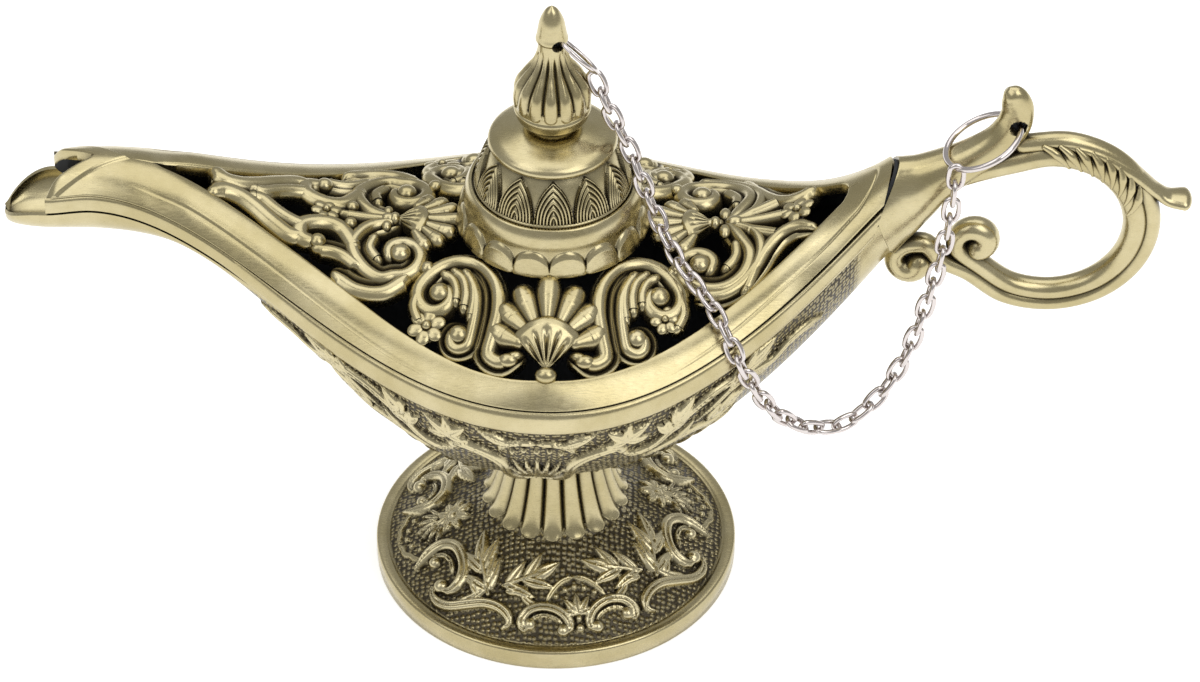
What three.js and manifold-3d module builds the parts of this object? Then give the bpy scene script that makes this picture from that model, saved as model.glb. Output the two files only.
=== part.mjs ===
// A lamp-shaped incense burner: a boat-shaped bowl on a fluted stem and a round foot, a ring handle,
// a pierced scrollwork cover that lifts off the bowl, and a domed cap with a fluted finial that
// lifts out of the cover's neck ring and is kept by a fine chain to the handle.
// Millimetres, +Z up. X runs from the spout (-X) to the handle (+X), and the lamp stands on Z = 0.
import * as THREE from 'three';
import { mergeVertices } from 'three/addons/utils/BufferGeometryUtils.js';
import Module from 'manifold-3d';

const wasm = await Module();
wasm.setup();

// Driving dimensions
const FIT = 0.3; // gap between seated pieces
const EDGE = 0.6; // small bevel on cast edges

const FOOT_RADIUS = 33;
const FOOT_RIM_HEIGHT = 4;
const FOOT_RIM_WIDTH = 1.8;
const FOOT_FIELD_STEP = 0.7; // the ornamented field starts this far below the rim
const PAD_RADIUS = 29;
const PAD_THICKNESS = 1;
const STEM_BASE_Z = 13.7;
const STEM_BASE_RADIUS = 12.9;
const STEM_WAIST_RADIUS = 9;
const STEM_TOP_RADIUS = 10.5;
const STEM_FLUTES = 18;
const FLUTE_DEPTH = 0.9;
const RELIEF_HEIGHT = 0.95; // cast ornament over the foot's field and the bowl
const SCREW_RADIUS = 2;
const SCREW_HEAD_RADIUS = 4;
const SCREW_HEAD_HEIGHT = 2.4;
const SCREW_GRIP = 5; // length held in the bowl's boss
const BOSS_RADIUS = 6;
const BOSS_HEIGHT = 7.5;

const BOWL_BOTTOM_Z = 32.5;
const BOWL_DEPTH = 32; // from the edge of the cover's band amidships
const BOWL_WALL = 2;
const SPOUT_REACH = 88; // lamp axis to the cover's spout corners
const LIP_OVERHANG = 8; // the bowl's pouring lip beyond those corners
const TAIL_REACH = 58.5; // lamp axis to the cover's handle end
const HALF_BEAM = 36.5; // half width of the cover amidships
const SPOUT_HALF_WIDTH = 6.6;
const LIP_HALF_WIDTH = 2.6;
const TAIL_HALF_WIDTH = 5.5;
const SPOUT_RISE = 21.1; // rise of the band's edge from amidships to the spout
const TAIL_RISE = 23.5; // and to the handle end
const LIP_DROP = 8.6; // the lip's tip below the spout's band
const LIP_DEPTH = 2; // bowl's depth at the lip's tip
const TAIL_DEPTH = 16; // bowl's depth at the handle end
const BEAD_HEIGHT = 3.6; // the bead below the band, down to the bowl
const BEAD_PROUD = 0.6;
const SEAM_PROUD = 0.4; // the seam stands out this far from the band's edge
const CROWN = 16; // rise of the cover's dome over its edge amidships
const SPOUT_CROWN = 3;
const TAIL_CROWN = 3.5;
const BAND_WIDTH = 3.3; // plain band amidships, before the piercing starts
const SPOUT_BAND_WIDTH = 8.2;
const TAIL_BAND_WIDTH = 7.4;
const TAIL_BAND_LENGTH = 7.3; // plain band at the handle end of the piercing
const NOTCH_DEPTH = 8.5; // V notch over the spout
const COVER_WALL = 1.8;
const COVER_END_WALL = 5;
const COVER_GAP = 0.6; // slot between the cover and the handle
const LOCATING_LIP_DEPTH = 1.6;
const LOCATING_LIP_WALL = 1;
const LOCATING_LIP_REACH = 33;

const CAP_RADIUS = 13.8;
const CAP_SHOULDER = 1.5; // the cap's foot overhangs the neck's bore by this much
const CAP_SEAT_DEPTH = 1.4; // the cap's foot sits this deep in the neck ring
const CAP_COLLAR_HEIGHT = 9.8;
const CAP_COLLAR_TAPER = 2.6;
const CAP_DOME_HEIGHT = 3.2;
const CAP_PLUG_DEPTH = 4.5;
const CAP_WALL = 1.6;
const NECK_WALL = 2.1; // neck ring outside the cap
const NECK_SINK = 3.5; // neck ring below the top of the dome
const NECK_HEIGHT = 9;
const NECK_PETALS = 16;
const PETAL_DEPTH = 0.8;
const FINIAL_FOOT_RADIUS = 4.6;
const FINIAL_RADIUS = 6.6;
const FINIAL_HEIGHT = 24.2;
const FINIAL_TIP_RADIUS = 2.4;
const FINIAL_FLUTES = 14;
const FINIAL_FLUTE_DEPTH = 0.75;
const FINIAL_PIN_RADIUS = 2;
const FINIAL_PIN_LENGTH = 3;
const FINIAL_HOLE_RADIUS = 1.1;
const FINIAL_HOLE_BELOW_TIP = 7.9;
const FINIAL_HOLE_OFFSET = 0.9;

const GRILLE_DROP = 0.9; // scrollwork lies this far below the band's surface
const SCROLL_WIDTH = 2.1;
const SCROLL_HEIGHT = 2;

const LOOP_BEYOND_TAIL = 27.6; // centre of the ring handle from the cover's handle end
const LOOP_BELOW_TAIL = 9;
const LOOP_INNER_RADIUS = 15; // middle of the handle's inner tube
const LOOP_OUTER_RADIUS = 17.7; // middle of its outer tube
const INNER_TUBE_RADIUS = 2.1;
const OUTER_TUBE_RADIUS = 1.6;
const TAB_HOLE_RADIUS = 1.45;
const TAB_HOLE_BEFORE_LOOP = 6.4;
const TAB_HOLE_ABOVE_LOOP = 21.4;
const TAB_ABOVE_HOLE = 6.6;

const FINIAL_RING_RADIUS = 4.7;
const FINIAL_RING_WIRE = 0.4;
const HANDLE_RING_RADIUS = 7.25;
const HANDLE_RING_WIRE = 0.45;
const LINK_LENGTH = 5;
const LINK_WIDTH = 3.2;
const LINK_WIRE = 0.35; // wire radius

// Ornament is drawn for a lamp of these sizes, and stretched with the lamp
const DRAWN_SPOUT_REACH = 88;
const DRAWN_TAIL_REACH = 58.5;
const DRAWN_HALF_BEAM = 36.5;
const DRAWN_FIELD_RADIUS = 31.2;

// Places that follow from them
const RIM_Z = BOWL_BOTTOM_Z + BOWL_DEPTH; // edge of the cover's band amidships
const SPOUT_RIM_Z = RIM_Z + SPOUT_RISE;
const TAIL_RIM_Z = RIM_Z + TAIL_RISE;
const LIP_REACH = SPOUT_REACH + LIP_OVERHANG;
const LIP_Z = SPOUT_RIM_Z - LIP_DROP;
const SPOUT_KEEL_Z = LIP_Z - LIP_DEPTH;
const TAIL_KEEL_Z = TAIL_RIM_Z - TAIL_DEPTH;
const OPENING_END = TAIL_REACH - TAIL_BAND_LENGTH;
const NECK_BORE = CAP_RADIUS - CAP_SHOULDER;
const NECK_RADIUS = CAP_RADIUS + NECK_WALL;
const NECK_BOTTOM_Z = RIM_Z + CROWN - NECK_SINK;
const NECK_TOP_Z = NECK_BOTTOM_Z + NECK_HEIGHT;
const NECK_SEAT_RADIUS = CAP_RADIUS + FIT;
const CAP_SEAT_Z = NECK_TOP_Z - CAP_SEAT_DEPTH;
const CAP_FOOT_Z = CAP_SEAT_Z + FIT;
const CAP_FLANGE_Z = CAP_FOOT_Z + CAP_COLLAR_HEIGHT;
const CAP_FLANGE_RADIUS = CAP_RADIUS - CAP_COLLAR_TAPER;
const CAP_TOP_Z = CAP_FLANGE_Z + CAP_DOME_HEIGHT;
const FINIAL_FOOT_Z = CAP_TOP_Z + FIT;
const FINIAL_TIP_Z = FINIAL_FOOT_Z + FINIAL_HEIGHT;
const FINIAL_HOLE_Z = FINIAL_TIP_Z - FINIAL_HOLE_BELOW_TIP;
const LOOP_X = TAIL_REACH + LOOP_BEYOND_TAIL;
const LOOP_Z = TAIL_RIM_Z - LOOP_BELOW_TAIL;
const TAB_HOLE_X = LOOP_X - TAB_HOLE_BEFORE_LOOP;
const TAB_HOLE_Z = LOOP_Z + TAB_HOLE_ABOVE_LOOP;
const TAB_TOP_Z = TAB_HOLE_Z + TAB_ABOVE_HOLE;

const materials = {
  brass: new THREE.MeshStandardMaterial({ color: 0xa4935c, metalness: 0.9, roughness: 0.38 }),
  nickel: new THREE.MeshStandardMaterial({ color: 0xd8cdc6, metalness: 1, roughness: 0.2 }),
  felt: new THREE.MeshStandardMaterial({ color: 0x1c1b1a, metalness: 0, roughness: 0.95 }),
  steel: new THREE.MeshStandardMaterial({ color: 0x8f9094, metalness: 1, roughness: 0.4 }),
};

// Small tools for closed bodies
const point = (x, y, z) => new THREE.Vector3(x, y, z);
const steps = (count) => Array.from({ length: count + 1 }, (_, i) => i / count);
const smooth = (t, from, to) => THREE.MathUtils.smoothstep(t, from, to);
const radians = THREE.MathUtils.degToRad;

/** Triangles that close a flat ring, as numbers of its points. */
function capTriangles(ring) {
  const normal = point(0, 0, 0);
  ring.forEach((p, i) => normal.add(p.clone().cross(ring[(i + 1) % ring.length])));
  const size = normal.toArray().map(Math.abs);
  const drop = size.indexOf(Math.max(...size));
  const keep = [0, 1, 2].filter((axis) => axis !== drop);
  const flat = ring.map((p) => {
    const c = p.toArray();
    return new THREE.Vector2(c[keep[0]], c[keep[1]]);
  });
  const triangles = THREE.ShapeUtils.triangulateShape(flat, []);
  const area = (numbers) => THREE.ShapeUtils.area(numbers.map((i) => flat[i]));
  const covered = triangles.reduce((sum, triangle) => sum + area(triangle), 0);
  const sameWay = covered * THREE.ShapeUtils.area(flat) > 0;
  return sameWay ? triangles : triangles.map(([a, b, c]) => [a, c, b]);
}

/** A closed body through rings of equal count, with flat ends, or joined end to end. */
function loft(rings, endless = false) {
  const count = rings[0].length;
  const index = [];
  const last = endless ? rings.length : rings.length - 1;
  for (let i = 0; i < last; i++) {
    const here = i * count;
    const next = ((i + 1) % rings.length) * count;
    for (let j = 0; j < count; j++) {
      const k = (j + 1) % count;
      index.push(here + j, here + k, next + k, here + j, next + k, next + j);
    }
  }
  if (!endless) {
    const far = (rings.length - 1) * count;
    capTriangles(rings[0]).forEach(([a, b, c]) => index.push(a, c, b));
    capTriangles(rings.at(-1)).forEach(([a, b, c]) => index.push(far + a, far + b, far + c));
  }
  const geometry = new THREE.BufferGeometry().setFromPoints(rings.flat());
  geometry.setIndex(index);
  return geometry;
}

/** A manifold-3d solid of a closed geometry, turned outward. */
function solid(geometry) {
  const bare = new THREE.BufferGeometry();
  bare.setAttribute('position', geometry.getAttribute('position'));
  bare.setIndex(geometry.index);
  const merged = mergeVertices(bare, 1e-4);
  const corners = merged.index.array;
  const triangles = [];
  for (let i = 0; i < corners.length; i += 3) {
    const [a, b, c] = corners.slice(i, i + 3);
    if (a !== b && b !== c && c !== a) triangles.push(a, b, c);
  }
  const mesh = (order) =>
    new wasm.Mesh({
      numProp: 3,
      vertProperties: Float32Array.from(merged.getAttribute('position').array),
      triVerts: Uint32Array.from(order),
    });
  const body = new wasm.Manifold(mesh(triangles));
  return body.volume() > 0 ? body : new wasm.Manifold(mesh(triangles.reverse()));
}

const join = (bodies) => bodies.reduce((all, body) => all.add(body));

/** The three.js geometry of a manifold-3d solid. */
function geometryOf(body) {
  const mesh = body.getMesh();
  const geometry = new THREE.BufferGeometry();
  geometry.setAttribute('position', new THREE.BufferAttribute(mesh.vertProperties, 3));
  geometry.setIndex(new THREE.BufferAttribute(mesh.triVerts, 1));
  geometry.computeVertexNormals();
  return geometry;
}

/** A turned body from [radius, z, ripple] points; a ripple draws every second side in by that much. */
function turned(profile, sides) {
  const geometry = new THREE.LatheGeometry(profile.map(([r, z]) => new THREE.Vector2(r, z)), sides);
  geometry.rotateX(Math.PI / 2);
  const place = geometry.getAttribute('position');
  for (let i = 0; i < place.count; i++) {
    const [radius, , ripple = 0] = profile[i % profile.length];
    const side = Math.floor(i / profile.length) % sides;
    const scale = side % 2 && radius > 0 ? 1 - ripple / radius : 1;
    place.setXY(i, place.getX(i) * scale, place.getY(i) * scale);
  }
  const start = place.array.slice(0, 3 * profile.length);
  place.array.set(start, 3 * sides * profile.length);
  return solid(geometry);
}

/** A straight round bar between two points. */
function bar(from, to, radius, halfSides = 8) {
  const shape = new THREE.Shape().absarc(0, 0, radius, 0, 2 * Math.PI);
  const path = new THREE.LineCurve3(from, to);
  return solid(new THREE.ExtrudeGeometry(shape, { extrudePath: path, steps: 1, curveSegments: halfSides }));
}

/** An upright prism over a plan outline of [x, y] points. */
function prism(outline, bottom, top) {
  const shape = new THREE.Shape(outline.map(([x, y]) => new THREE.Vector2(x, y)));
  const geometry = new THREE.ExtrudeGeometry(shape, { depth: top - bottom, bevelEnabled: false });
  return solid(geometry.translate(0, 0, bottom));
}

/** Unit section of a round rod. */
const rod = (sides) =>
  Array.from({ length: sides }, (_, k) => {
    const angle = (2 * Math.PI * (k + 0.5)) / sides;
    return [Math.cos(angle), Math.sin(angle)];
  });

/** Unit section of a flat scroll, drawn in towards its top. */
const SCROLL_SECTION = [[1, -1], [0.6, 1], [-0.6, 1], [-1, -1]];

/** Unit section of a ridge. */
const RIDGE_SECTION = [[1, -1], [0, 1], [-1, -1]];

/** A swept body. size(t) gives [half width, half height] at t from 0 to 1 along the points. */
function sweep(points, size, { count, section, normal }) {
  const curve = new THREE.CatmullRomCurve3(points, false, 'centripetal');
  const rings = steps(count).map((t) => {
    const middle = curve.getPointAt(t);
    const along = curve.getTangentAt(t);
    const across = along.clone().cross(normal(middle)).normalize();
    const rise = across.clone().cross(along);
    const [halfWidth, halfHeight] = size(t);
    return section.map(([u, v]) =>
      middle.clone().addScaledVector(across, u * halfWidth).addScaledVector(rise, v * halfHeight),
    );
  });
  return solid(loft(rings));
}

/** A cast ridge with drawn-in ends along points on a surface, `width` wide where it leaves the surface. */
function ridge(points, width, count, normal) {
  const size = (t) => {
    const ends = 0.5 + 0.5 * Math.min(1, 4 * Math.min(t, 1 - t));
    return [ends * width, ends * RELIEF_HEIGHT];
  };
  return sweep(points, size, { count, section: RIDGE_SECTION, normal });
}

/** Points of a plane spiral about a centre, with angles in degrees. */
function spiral([cx, cy], startRadius, endRadius, startAngle, endAngle) {
  const count = Math.ceil(Math.abs(endAngle - startAngle) / 48);
  return steps(count).map((t) => {
    const angle = radians(startAngle + t * (endAngle - startAngle));
    const radius = startRadius + t * (endRadius - startRadius);
    return [cx + radius * Math.cos(angle), cy + radius * Math.sin(angle)];
  });
}

// The boat form, as functions of x
const spoutShare = (x) => Math.min(-x / SPOUT_REACH, 1);
const tailShare = (x) => Math.min(x / TAIL_REACH, 1);

/** Half width at the outer edge of the cover's band. */
function rimHalfWidth(x) {
  if (x < 0) {
    const bell = (1 + Math.cos(Math.PI * spoutShare(x))) / 2;
    return SPOUT_HALF_WIDTH + (HALF_BEAM - SPOUT_HALF_WIDTH) * bell ** 1.25;
  }
  const arch = Math.max(Math.cos((Math.PI / 2) * tailShare(x)), 0);
  return TAIL_HALF_WIDTH + (HALF_BEAM - TAIL_HALF_WIDTH) * arch ** 1.3;
}

/** Height of the outer edge of the cover's band: low amidships, high at both ends. */
function rimZ(x) {
  if (x >= 0) return RIM_Z + (TAIL_RIM_Z - RIM_Z) * tailShare(x) ** 2.7;
  const t = spoutShare(x);
  const rise = Math.sin((Math.PI / 2) * Math.min(t / 0.9, 1) ** 1.7) ** 1.5;
  return RIM_Z + (SPOUT_RIM_Z - RIM_Z) * (rise - 0.05 * smooth(t, 0.9, 1));
}

/** Rise of the cover's dome at the middle of the section. */
function crown(x) {
  if (x < 0) return SPOUT_CROWN + (CROWN - SPOUT_CROWN) * (1 - spoutShare(x)) ** 2;
  return TAIL_CROWN + (CROWN - TAIL_CROWN) * (1 - tailShare(x)) ** 1.2;
}

const domeZ = (x, y) => rimZ(x) + crown(x) * (1 - (y / rimHalfWidth(x)) ** 2);

/** Upward normal of the cover's dome. */
function domeNormal(p) {
  const step = 0.5;
  const slopeX = (domeZ(p.x + step, p.y) - domeZ(p.x - step, p.y)) / (2 * step);
  const slopeY = (domeZ(p.x, p.y + step) - domeZ(p.x, p.y - step)) / (2 * step);
  return point(-slopeX, -slopeY, 1).normalize();
}

/** Half width of the pierced opening, zero at its pointed spout end. */
function openingHalfWidth(x) {
  const band =
    x < 0
      ? BAND_WIDTH + (SPOUT_BAND_WIDTH - BAND_WIDTH) * smooth(spoutShare(x), 0.15, 0.55)
      : BAND_WIDTH + (TAIL_BAND_WIDTH - BAND_WIDTH) * smooth(tailShare(x), 0, 0.8);
  return Math.max(rimHalfWidth(x) - band, 0);
}

/** Half width and height of the seam between cover and bowl, and of the lip beyond the cover. */
function seam(x) {
  const halfWidth = rimHalfWidth(x) + SEAM_PROUD;
  const z = rimZ(x) - BEAD_HEIGHT;
  const t = Math.max((-x - SPOUT_REACH) / (LIP_REACH - SPOUT_REACH), 0);
  return [halfWidth + (LIP_HALF_WIDTH - halfWidth) * t ** 2, z + (LIP_Z - z) * t];
}

/** Lowest line of the bowl. */
function keelZ(x) {
  if (x < 0) return BOWL_BOTTOM_Z + (SPOUT_KEEL_Z - BOWL_BOTTOM_Z) * smooth(-x / LIP_REACH, 0.12, 0.7);
  return BOWL_BOTTOM_Z + (TAIL_KEEL_Z - BOWL_BOTTOM_Z) * tailShare(x) ** 2.2;
}

/** Stations along x, closer together towards both ends. */
const stations = (from, to, count) =>
  steps(count).map((t) => from + (to - from) * (t - Math.sin(2 * Math.PI * t) / 14));

/** Sections shared by the bowl and the cover, so that their seam runs alike. */
const SECTIONS = stations(-SPOUT_REACH, TAIL_REACH, 20);

/** Plan outline of the opening, drawn in by a margin. */
function openingOutline(margin) {
  let apex = -SPOUT_REACH;
  while (openingHalfWidth(apex) < margin + 0.05) apex += 0.1;
  const side = stations(apex, OPENING_END - margin, 17).map((x) => [x, openingHalfWidth(x) - margin]);
  return [...side, ...side.map(([x, y]) => [x, -y]).reverse()];
}

// Foot, stem, pad and screw
const FIELD_RADIUS = FOOT_RADIUS - FOOT_RIM_WIDTH;
const PAD_SEAT_Z = PAD_THICKNESS + FIT;
const SCREW_HEAD_Z = PAD_SEAT_Z + 1;
const SCREW_SEAT_Z = SCREW_HEAD_Z + SCREW_HEAD_HEIGHT + FIT;
const STEM_TOP_Z = BOWL_BOTTOM_Z - FIT;
const SCREW_TIP_Z = BOWL_BOTTOM_Z + SCREW_GRIP;

// Ridges of a quarter of the foot: [line of [degrees from the front axis, radius], width, steps]
const FRONT_AXIS = -78.5;
const FOOT_RIDGES = [
  [[[75, 27], [76, 22.4], [66, 20.8], [54.4, 24], [59.6, 27]], 1.6, 5],
  [[[59.7, 28.9], [45.4, 27.1], [32.7, 25.6], [27, 28.2]], 1.3, 4],
  [[[20.6, 27.2], [20, 25], [12, 24.4], [4.4, 26.6]], 1.3, 3],
  [[[41, 24], [50, 20.4], [64, 16.8]], 1.8, 2],
  [[[36, 22.8], [24, 19.4], [6, 16.4]], 1.8, 2],
];

/** Scrolls and leaves on the foot's field, a quarter mirrored and turned to all four. */
function footRelief() {
  const edge = [FIELD_RADIUS - EDGE, FOOT_RIM_HEIGHT - FOOT_FIELD_STEP];
  const top = [STEM_BASE_RADIUS + FLUTE_DEPTH, STEM_BASE_Z - FLUTE_DEPTH];
  const slope = (top[1] - edge[1]) / (edge[0] - top[0]);
  const onField = (degrees, radius) => {
    const reach = (radius * FIELD_RADIUS) / DRAWN_FIELD_RADIUS;
    const angle = radians(degrees);
    return point(reach * Math.cos(angle), reach * Math.sin(angle), edge[1] + slope * (edge[0] - reach));
  };
  const normal = (p) => point(p.x, p.y, Math.hypot(p.x, p.y) / slope).normalize();
  return [0, 180].flatMap((turn) =>
    [1, -1].flatMap((side) =>
      FOOT_RIDGES.map(([line, width, count]) => {
        const places = line.map(([degrees, radius]) => onField(FRONT_AXIS + turn + side * degrees, radius));
        return ridge(places, width, count, normal);
      }),
    ),
  );
}

function makeFoot() {
  const waistZ = STEM_BASE_Z + 0.6 * (STEM_TOP_Z - STEM_BASE_Z);
  const middleRadius = (STEM_BASE_RADIUS + STEM_WAIST_RADIUS) / 2 - 0.7;
  const middleZ = STEM_BASE_Z + 0.25 * (STEM_TOP_Z - STEM_BASE_Z);
  const body = turned(
    [
      [0, PAD_SEAT_Z],
      [PAD_RADIUS + FIT, PAD_SEAT_Z],
      [PAD_RADIUS + FIT, 0],
      [FOOT_RADIUS, 0],
      [FOOT_RADIUS, FOOT_RIM_HEIGHT - EDGE],
      [FOOT_RADIUS - EDGE, FOOT_RIM_HEIGHT],
      [FIELD_RADIUS, FOOT_RIM_HEIGHT],
      [FIELD_RADIUS - EDGE, FOOT_RIM_HEIGHT - FOOT_FIELD_STEP],
      [(FIELD_RADIUS + STEM_BASE_RADIUS) / 2, (FOOT_RIM_HEIGHT + STEM_BASE_Z) / 2 - 0.6],
      [STEM_BASE_RADIUS + FLUTE_DEPTH, STEM_BASE_Z - FLUTE_DEPTH],
      [STEM_BASE_RADIUS, STEM_BASE_Z, FLUTE_DEPTH],
      [middleRadius, middleZ, FLUTE_DEPTH],
      [STEM_WAIST_RADIUS, waistZ, FLUTE_DEPTH],
      [STEM_TOP_RADIUS, STEM_TOP_Z, FLUTE_DEPTH],
      [0, STEM_TOP_Z],
    ],
    2 * STEM_FLUTES,
  );
  const hole = bar(point(0, 0, -1), point(0, 0, STEM_TOP_Z + 1), SCREW_RADIUS + FIT);
  const counterbore = bar(point(0, 0, -1), point(0, 0, SCREW_SEAT_Z), SCREW_HEAD_RADIUS + FIT);
  return join([body, ...footRelief()]).subtract(hole).subtract(counterbore);
}

function makePad() {
  return bar(point(0, 0, 0), point(0, 0, PAD_THICKNESS), PAD_RADIUS, 15);
}

function makeScrew() {
  const headTop = SCREW_HEAD_Z + SCREW_HEAD_HEIGHT;
  return turned(
    [
      [0, SCREW_HEAD_Z],
      [SCREW_HEAD_RADIUS, SCREW_HEAD_Z],
      [SCREW_HEAD_RADIUS, headTop],
      [SCREW_RADIUS, headTop],
      [SCREW_RADIUS, SCREW_TIP_Z - EDGE],
      [SCREW_RADIUS - EDGE, SCREW_TIP_Z],
      [0, SCREW_TIP_Z],
    ],
    16,
  );
}

// Bowl, with a framed shell and leafy stems cast on both sides
const BOWL_MIDDLE = -1.5; // the ornament's middle along x
/** Ridges on half of a side: [line of [x from the middle, degrees below the seam], width, steps]. */
const BOWL_RIDGES = [
  [[[14, 16.5], [11, 14.8], [7, 20], [0, 41]], 1.5, 4],
  [[[15, 19], [20, 22.4], [26.6, 12], [31, 9.8], [38, 14]], 1.3, 4],
];

function bowlRelief() {
  const onBowl = (u, degrees) => {
    const x = u * (u < 0 ? SPOUT_REACH / DRAWN_SPOUT_REACH : TAIL_REACH / DRAWN_TAIL_REACH);
    const [halfWidth, z] = seam(x);
    const angle = radians(degrees);
    return point(x, -halfWidth * Math.cos(angle), z - (z - keelZ(x)) * Math.sin(angle));
  };
  const normal = (p) => {
    const [halfWidth, z] = seam(p.x);
    return point(0, p.y / halfWidth ** 2, (p.z - z) / (z - keelZ(p.x)) ** 2).normalize();
  };
  return [1, -1].flatMap((side) =>
    BOWL_RIDGES.flatMap(([line, width, count]) => {
      const places = line.map(([u, degrees]) => onBowl(BOWL_MIDDLE + side * u, degrees));
      const front = ridge(places, width, count, normal);
      return [front, front.mirror([0, 1, 0])];
    }),
  );
}

function makeBowl() {
  const section = (x, wall, above) => {
    const [halfWidth, z] = seam(x);
    const depth = z - keelZ(x);
    const half = Math.max(halfWidth - wall, 0.5);
    const arc = steps(10).map((t) => {
      const angle = Math.PI * t;
      return point(x, half * Math.cos(angle), z - Math.max(depth - wall, 0.4) * Math.sin(angle));
    });
    return above ? [...arc, point(x, -half, z + above), point(x, half, z + above)] : arc;
  };
  const tail = TAIL_REACH + COVER_GAP - FIT;
  const lip = [-LIP_REACH, -(LIP_REACH + SPOUT_REACH) / 2];
  const outside = loft([...lip, ...SECTIONS, tail].map((x) => section(x, 0, 0)));
  const cutEnd = TAIL_REACH - COVER_END_WALL;
  const cutSections = SECTIONS.filter((x) => x < cutEnd - 1);
  const inside = loft([-LIP_REACH - 1, ...lip, ...cutSections, cutEnd].map((x) => section(x, BOWL_WALL, 4)));
  const hollow = solid(outside).subtract(solid(inside));
  const floorZ = BOWL_BOTTOM_Z + BOWL_WALL / 2;
  const boss = bar(point(0, 0, floorZ), point(0, 0, BOWL_BOTTOM_Z + BOSS_HEIGHT), BOSS_RADIUS);
  const thread = bar(point(0, 0, 0), point(0, 0, SCREW_TIP_Z + FIT), SCREW_RADIUS + FIT);
  return join([hollow, boss, ...bowlRelief()]).subtract(thread);
}

// Handle: a root that grows out of the bowl's end into a tab, and two tubes side by side round the loop
const inHandlePlane = ([x, z]) => point(x, 0, z);
const acrossHandle = () => point(0, 1, 0);
const loopArc = (radius, from, to) => spiral([LOOP_X, LOOP_Z], radius, radius, from, to);

/** A place in the handle's plane, in loop radii from the loop's centre. */
const byLoop = (u, w) => [LOOP_X + u * LOOP_INNER_RADIUS, LOOP_Z + w * LOOP_INNER_RADIUS];

/** A place in the handle's plane, in hole radii from the tab's hole. */
const byHole = (u, w) => [TAB_HOLE_X + u * TAB_HOLE_RADIUS, TAB_HOLE_Z + w * TAB_HOLE_RADIUS];

function makeHandleRoot() {
  const start = TAIL_REACH + COVER_GAP;
  const rootHalf = (TAIL_RIM_Z + TAIL_CROWN - TAIL_KEEL_Z) / 2;
  const rootZ = TAIL_KEEL_Z + rootHalf;
  const tube = INNER_TUBE_RADIUS;
  const eye = TAB_HOLE_RADIUS;
  const tip = byHole(-0.9, TAB_ABOVE_HOLE / eye);
  // [place, tilt in degrees, half width, half height] of each section
  const rings = [
    [[start, rootZ], 0, TAIL_HALF_WIDTH + SEAM_PROUD, rootHalf],
    [[start + 0.1 * (LOOP_X - start), rootZ + 0.25 * rootHalf], 14, TAIL_HALF_WIDTH, 0.8 * rootHalf],
    [byLoop(-1.34, 0.587), 30, 2.1 * tube, 2.57 * tube],
    [byLoop(-1.01, 0.827), 36, 1.81 * tube, 1.9 * tube],
    [byLoop(-0.7, 1.08), 46, 1.48 * tube, 1.71 * tube],
    [byHole(-0.76, -0.55), 74, 0.86 * tube, 2.2 * eye],
    [byHole(-0.41, 2.07), 92, 0.76 * tube, 1.86 * eye],
    [[tip[0] + 0.14 * eye, tip[1] - 0.7 * eye], 102, 0.62 * tube, 1.17 * eye],
    [tip, 102, 0.28 * tube, 0.48 * eye],
  ].map(([place, tilt, halfWidth, halfHeight]) => {
    const rise = point(-Math.sin(radians(tilt)), 0, Math.cos(radians(tilt)));
    return rod(8).map(([u, v]) =>
      inHandlePlane(place)
        .addScaledVector(acrossHandle(), u * halfWidth)
        .addScaledVector(rise, v * halfHeight),
    );
  });
  return solid(loft(rings));
}

function makeHandle() {
  const round = (radius) => (t) => {
    const swell = radius * (1.05 - 0.3 * smooth(t, 0.45, 1));
    return [swell, swell];
  };
  const innerLine = [
    byLoop(-1.325, 0.53),
    byLoop(-0.9, 0.728),
    ...loopArc(LOOP_INNER_RADIUS, 118, -140),
    ...spiral(byLoop(-0.834, -0.305), 1.6 * INNER_TUBE_RADIUS, 0.68 * INNER_TUBE_RADIUS, 200, -60),
  ].map(inHandlePlane);
  const outerLine = [
    ...loopArc(LOOP_OUTER_RADIUS, 108, -140),
    byLoop(-1.219, -0.583),
    byLoop(-1.404, -0.371),
    ...spiral(byLoop(-1.563, -0.609), 2.44 * OUTER_TUBE_RADIUS, 0.875 * OUTER_TUBE_RADIUS, 75, 330),
  ].map(inHandlePlane);
  const leafLine = [
    byLoop(0.13, 1.15),
    byLoop(0.53, 1.01),
    byLoop(0.93, 0.73),
    byLoop(1.22, 0.47),
    byLoop(1.4, 0.35),
    byLoop(1.55, 0.35),
  ].map(inHandlePlane);
  const leafSize = (t) => {
    const halfWidth = 0.44 + 0.75 * Math.sin(Math.PI * (0.15 + 0.7 * t));
    const halfHeight = 0.5 + Math.sin(0.8 * Math.PI * t);
    return [halfWidth * OUTER_TUBE_RADIUS, halfHeight * OUTER_TUBE_RADIUS];
  };
  const holeEnds = [-4, 4].map((side) => point(TAB_HOLE_X, side * INNER_TUBE_RADIUS, TAB_HOLE_Z));
  const tabHole = bar(...holeEnds, TAB_HOLE_RADIUS, 6);
  return join([
    makeHandleRoot(),
    sweep(innerLine, round(INNER_TUBE_RADIUS), { count: 26, section: rod(6), normal: acrossHandle }),
    sweep(outerLine, round(OUTER_TUBE_RADIUS), { count: 27, section: rod(5), normal: acrossHandle }),
    sweep(leafLine, leafSize, { count: 7, section: rod(6), normal: acrossHandle }),
  ]).subtract(tabHole);
}

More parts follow.
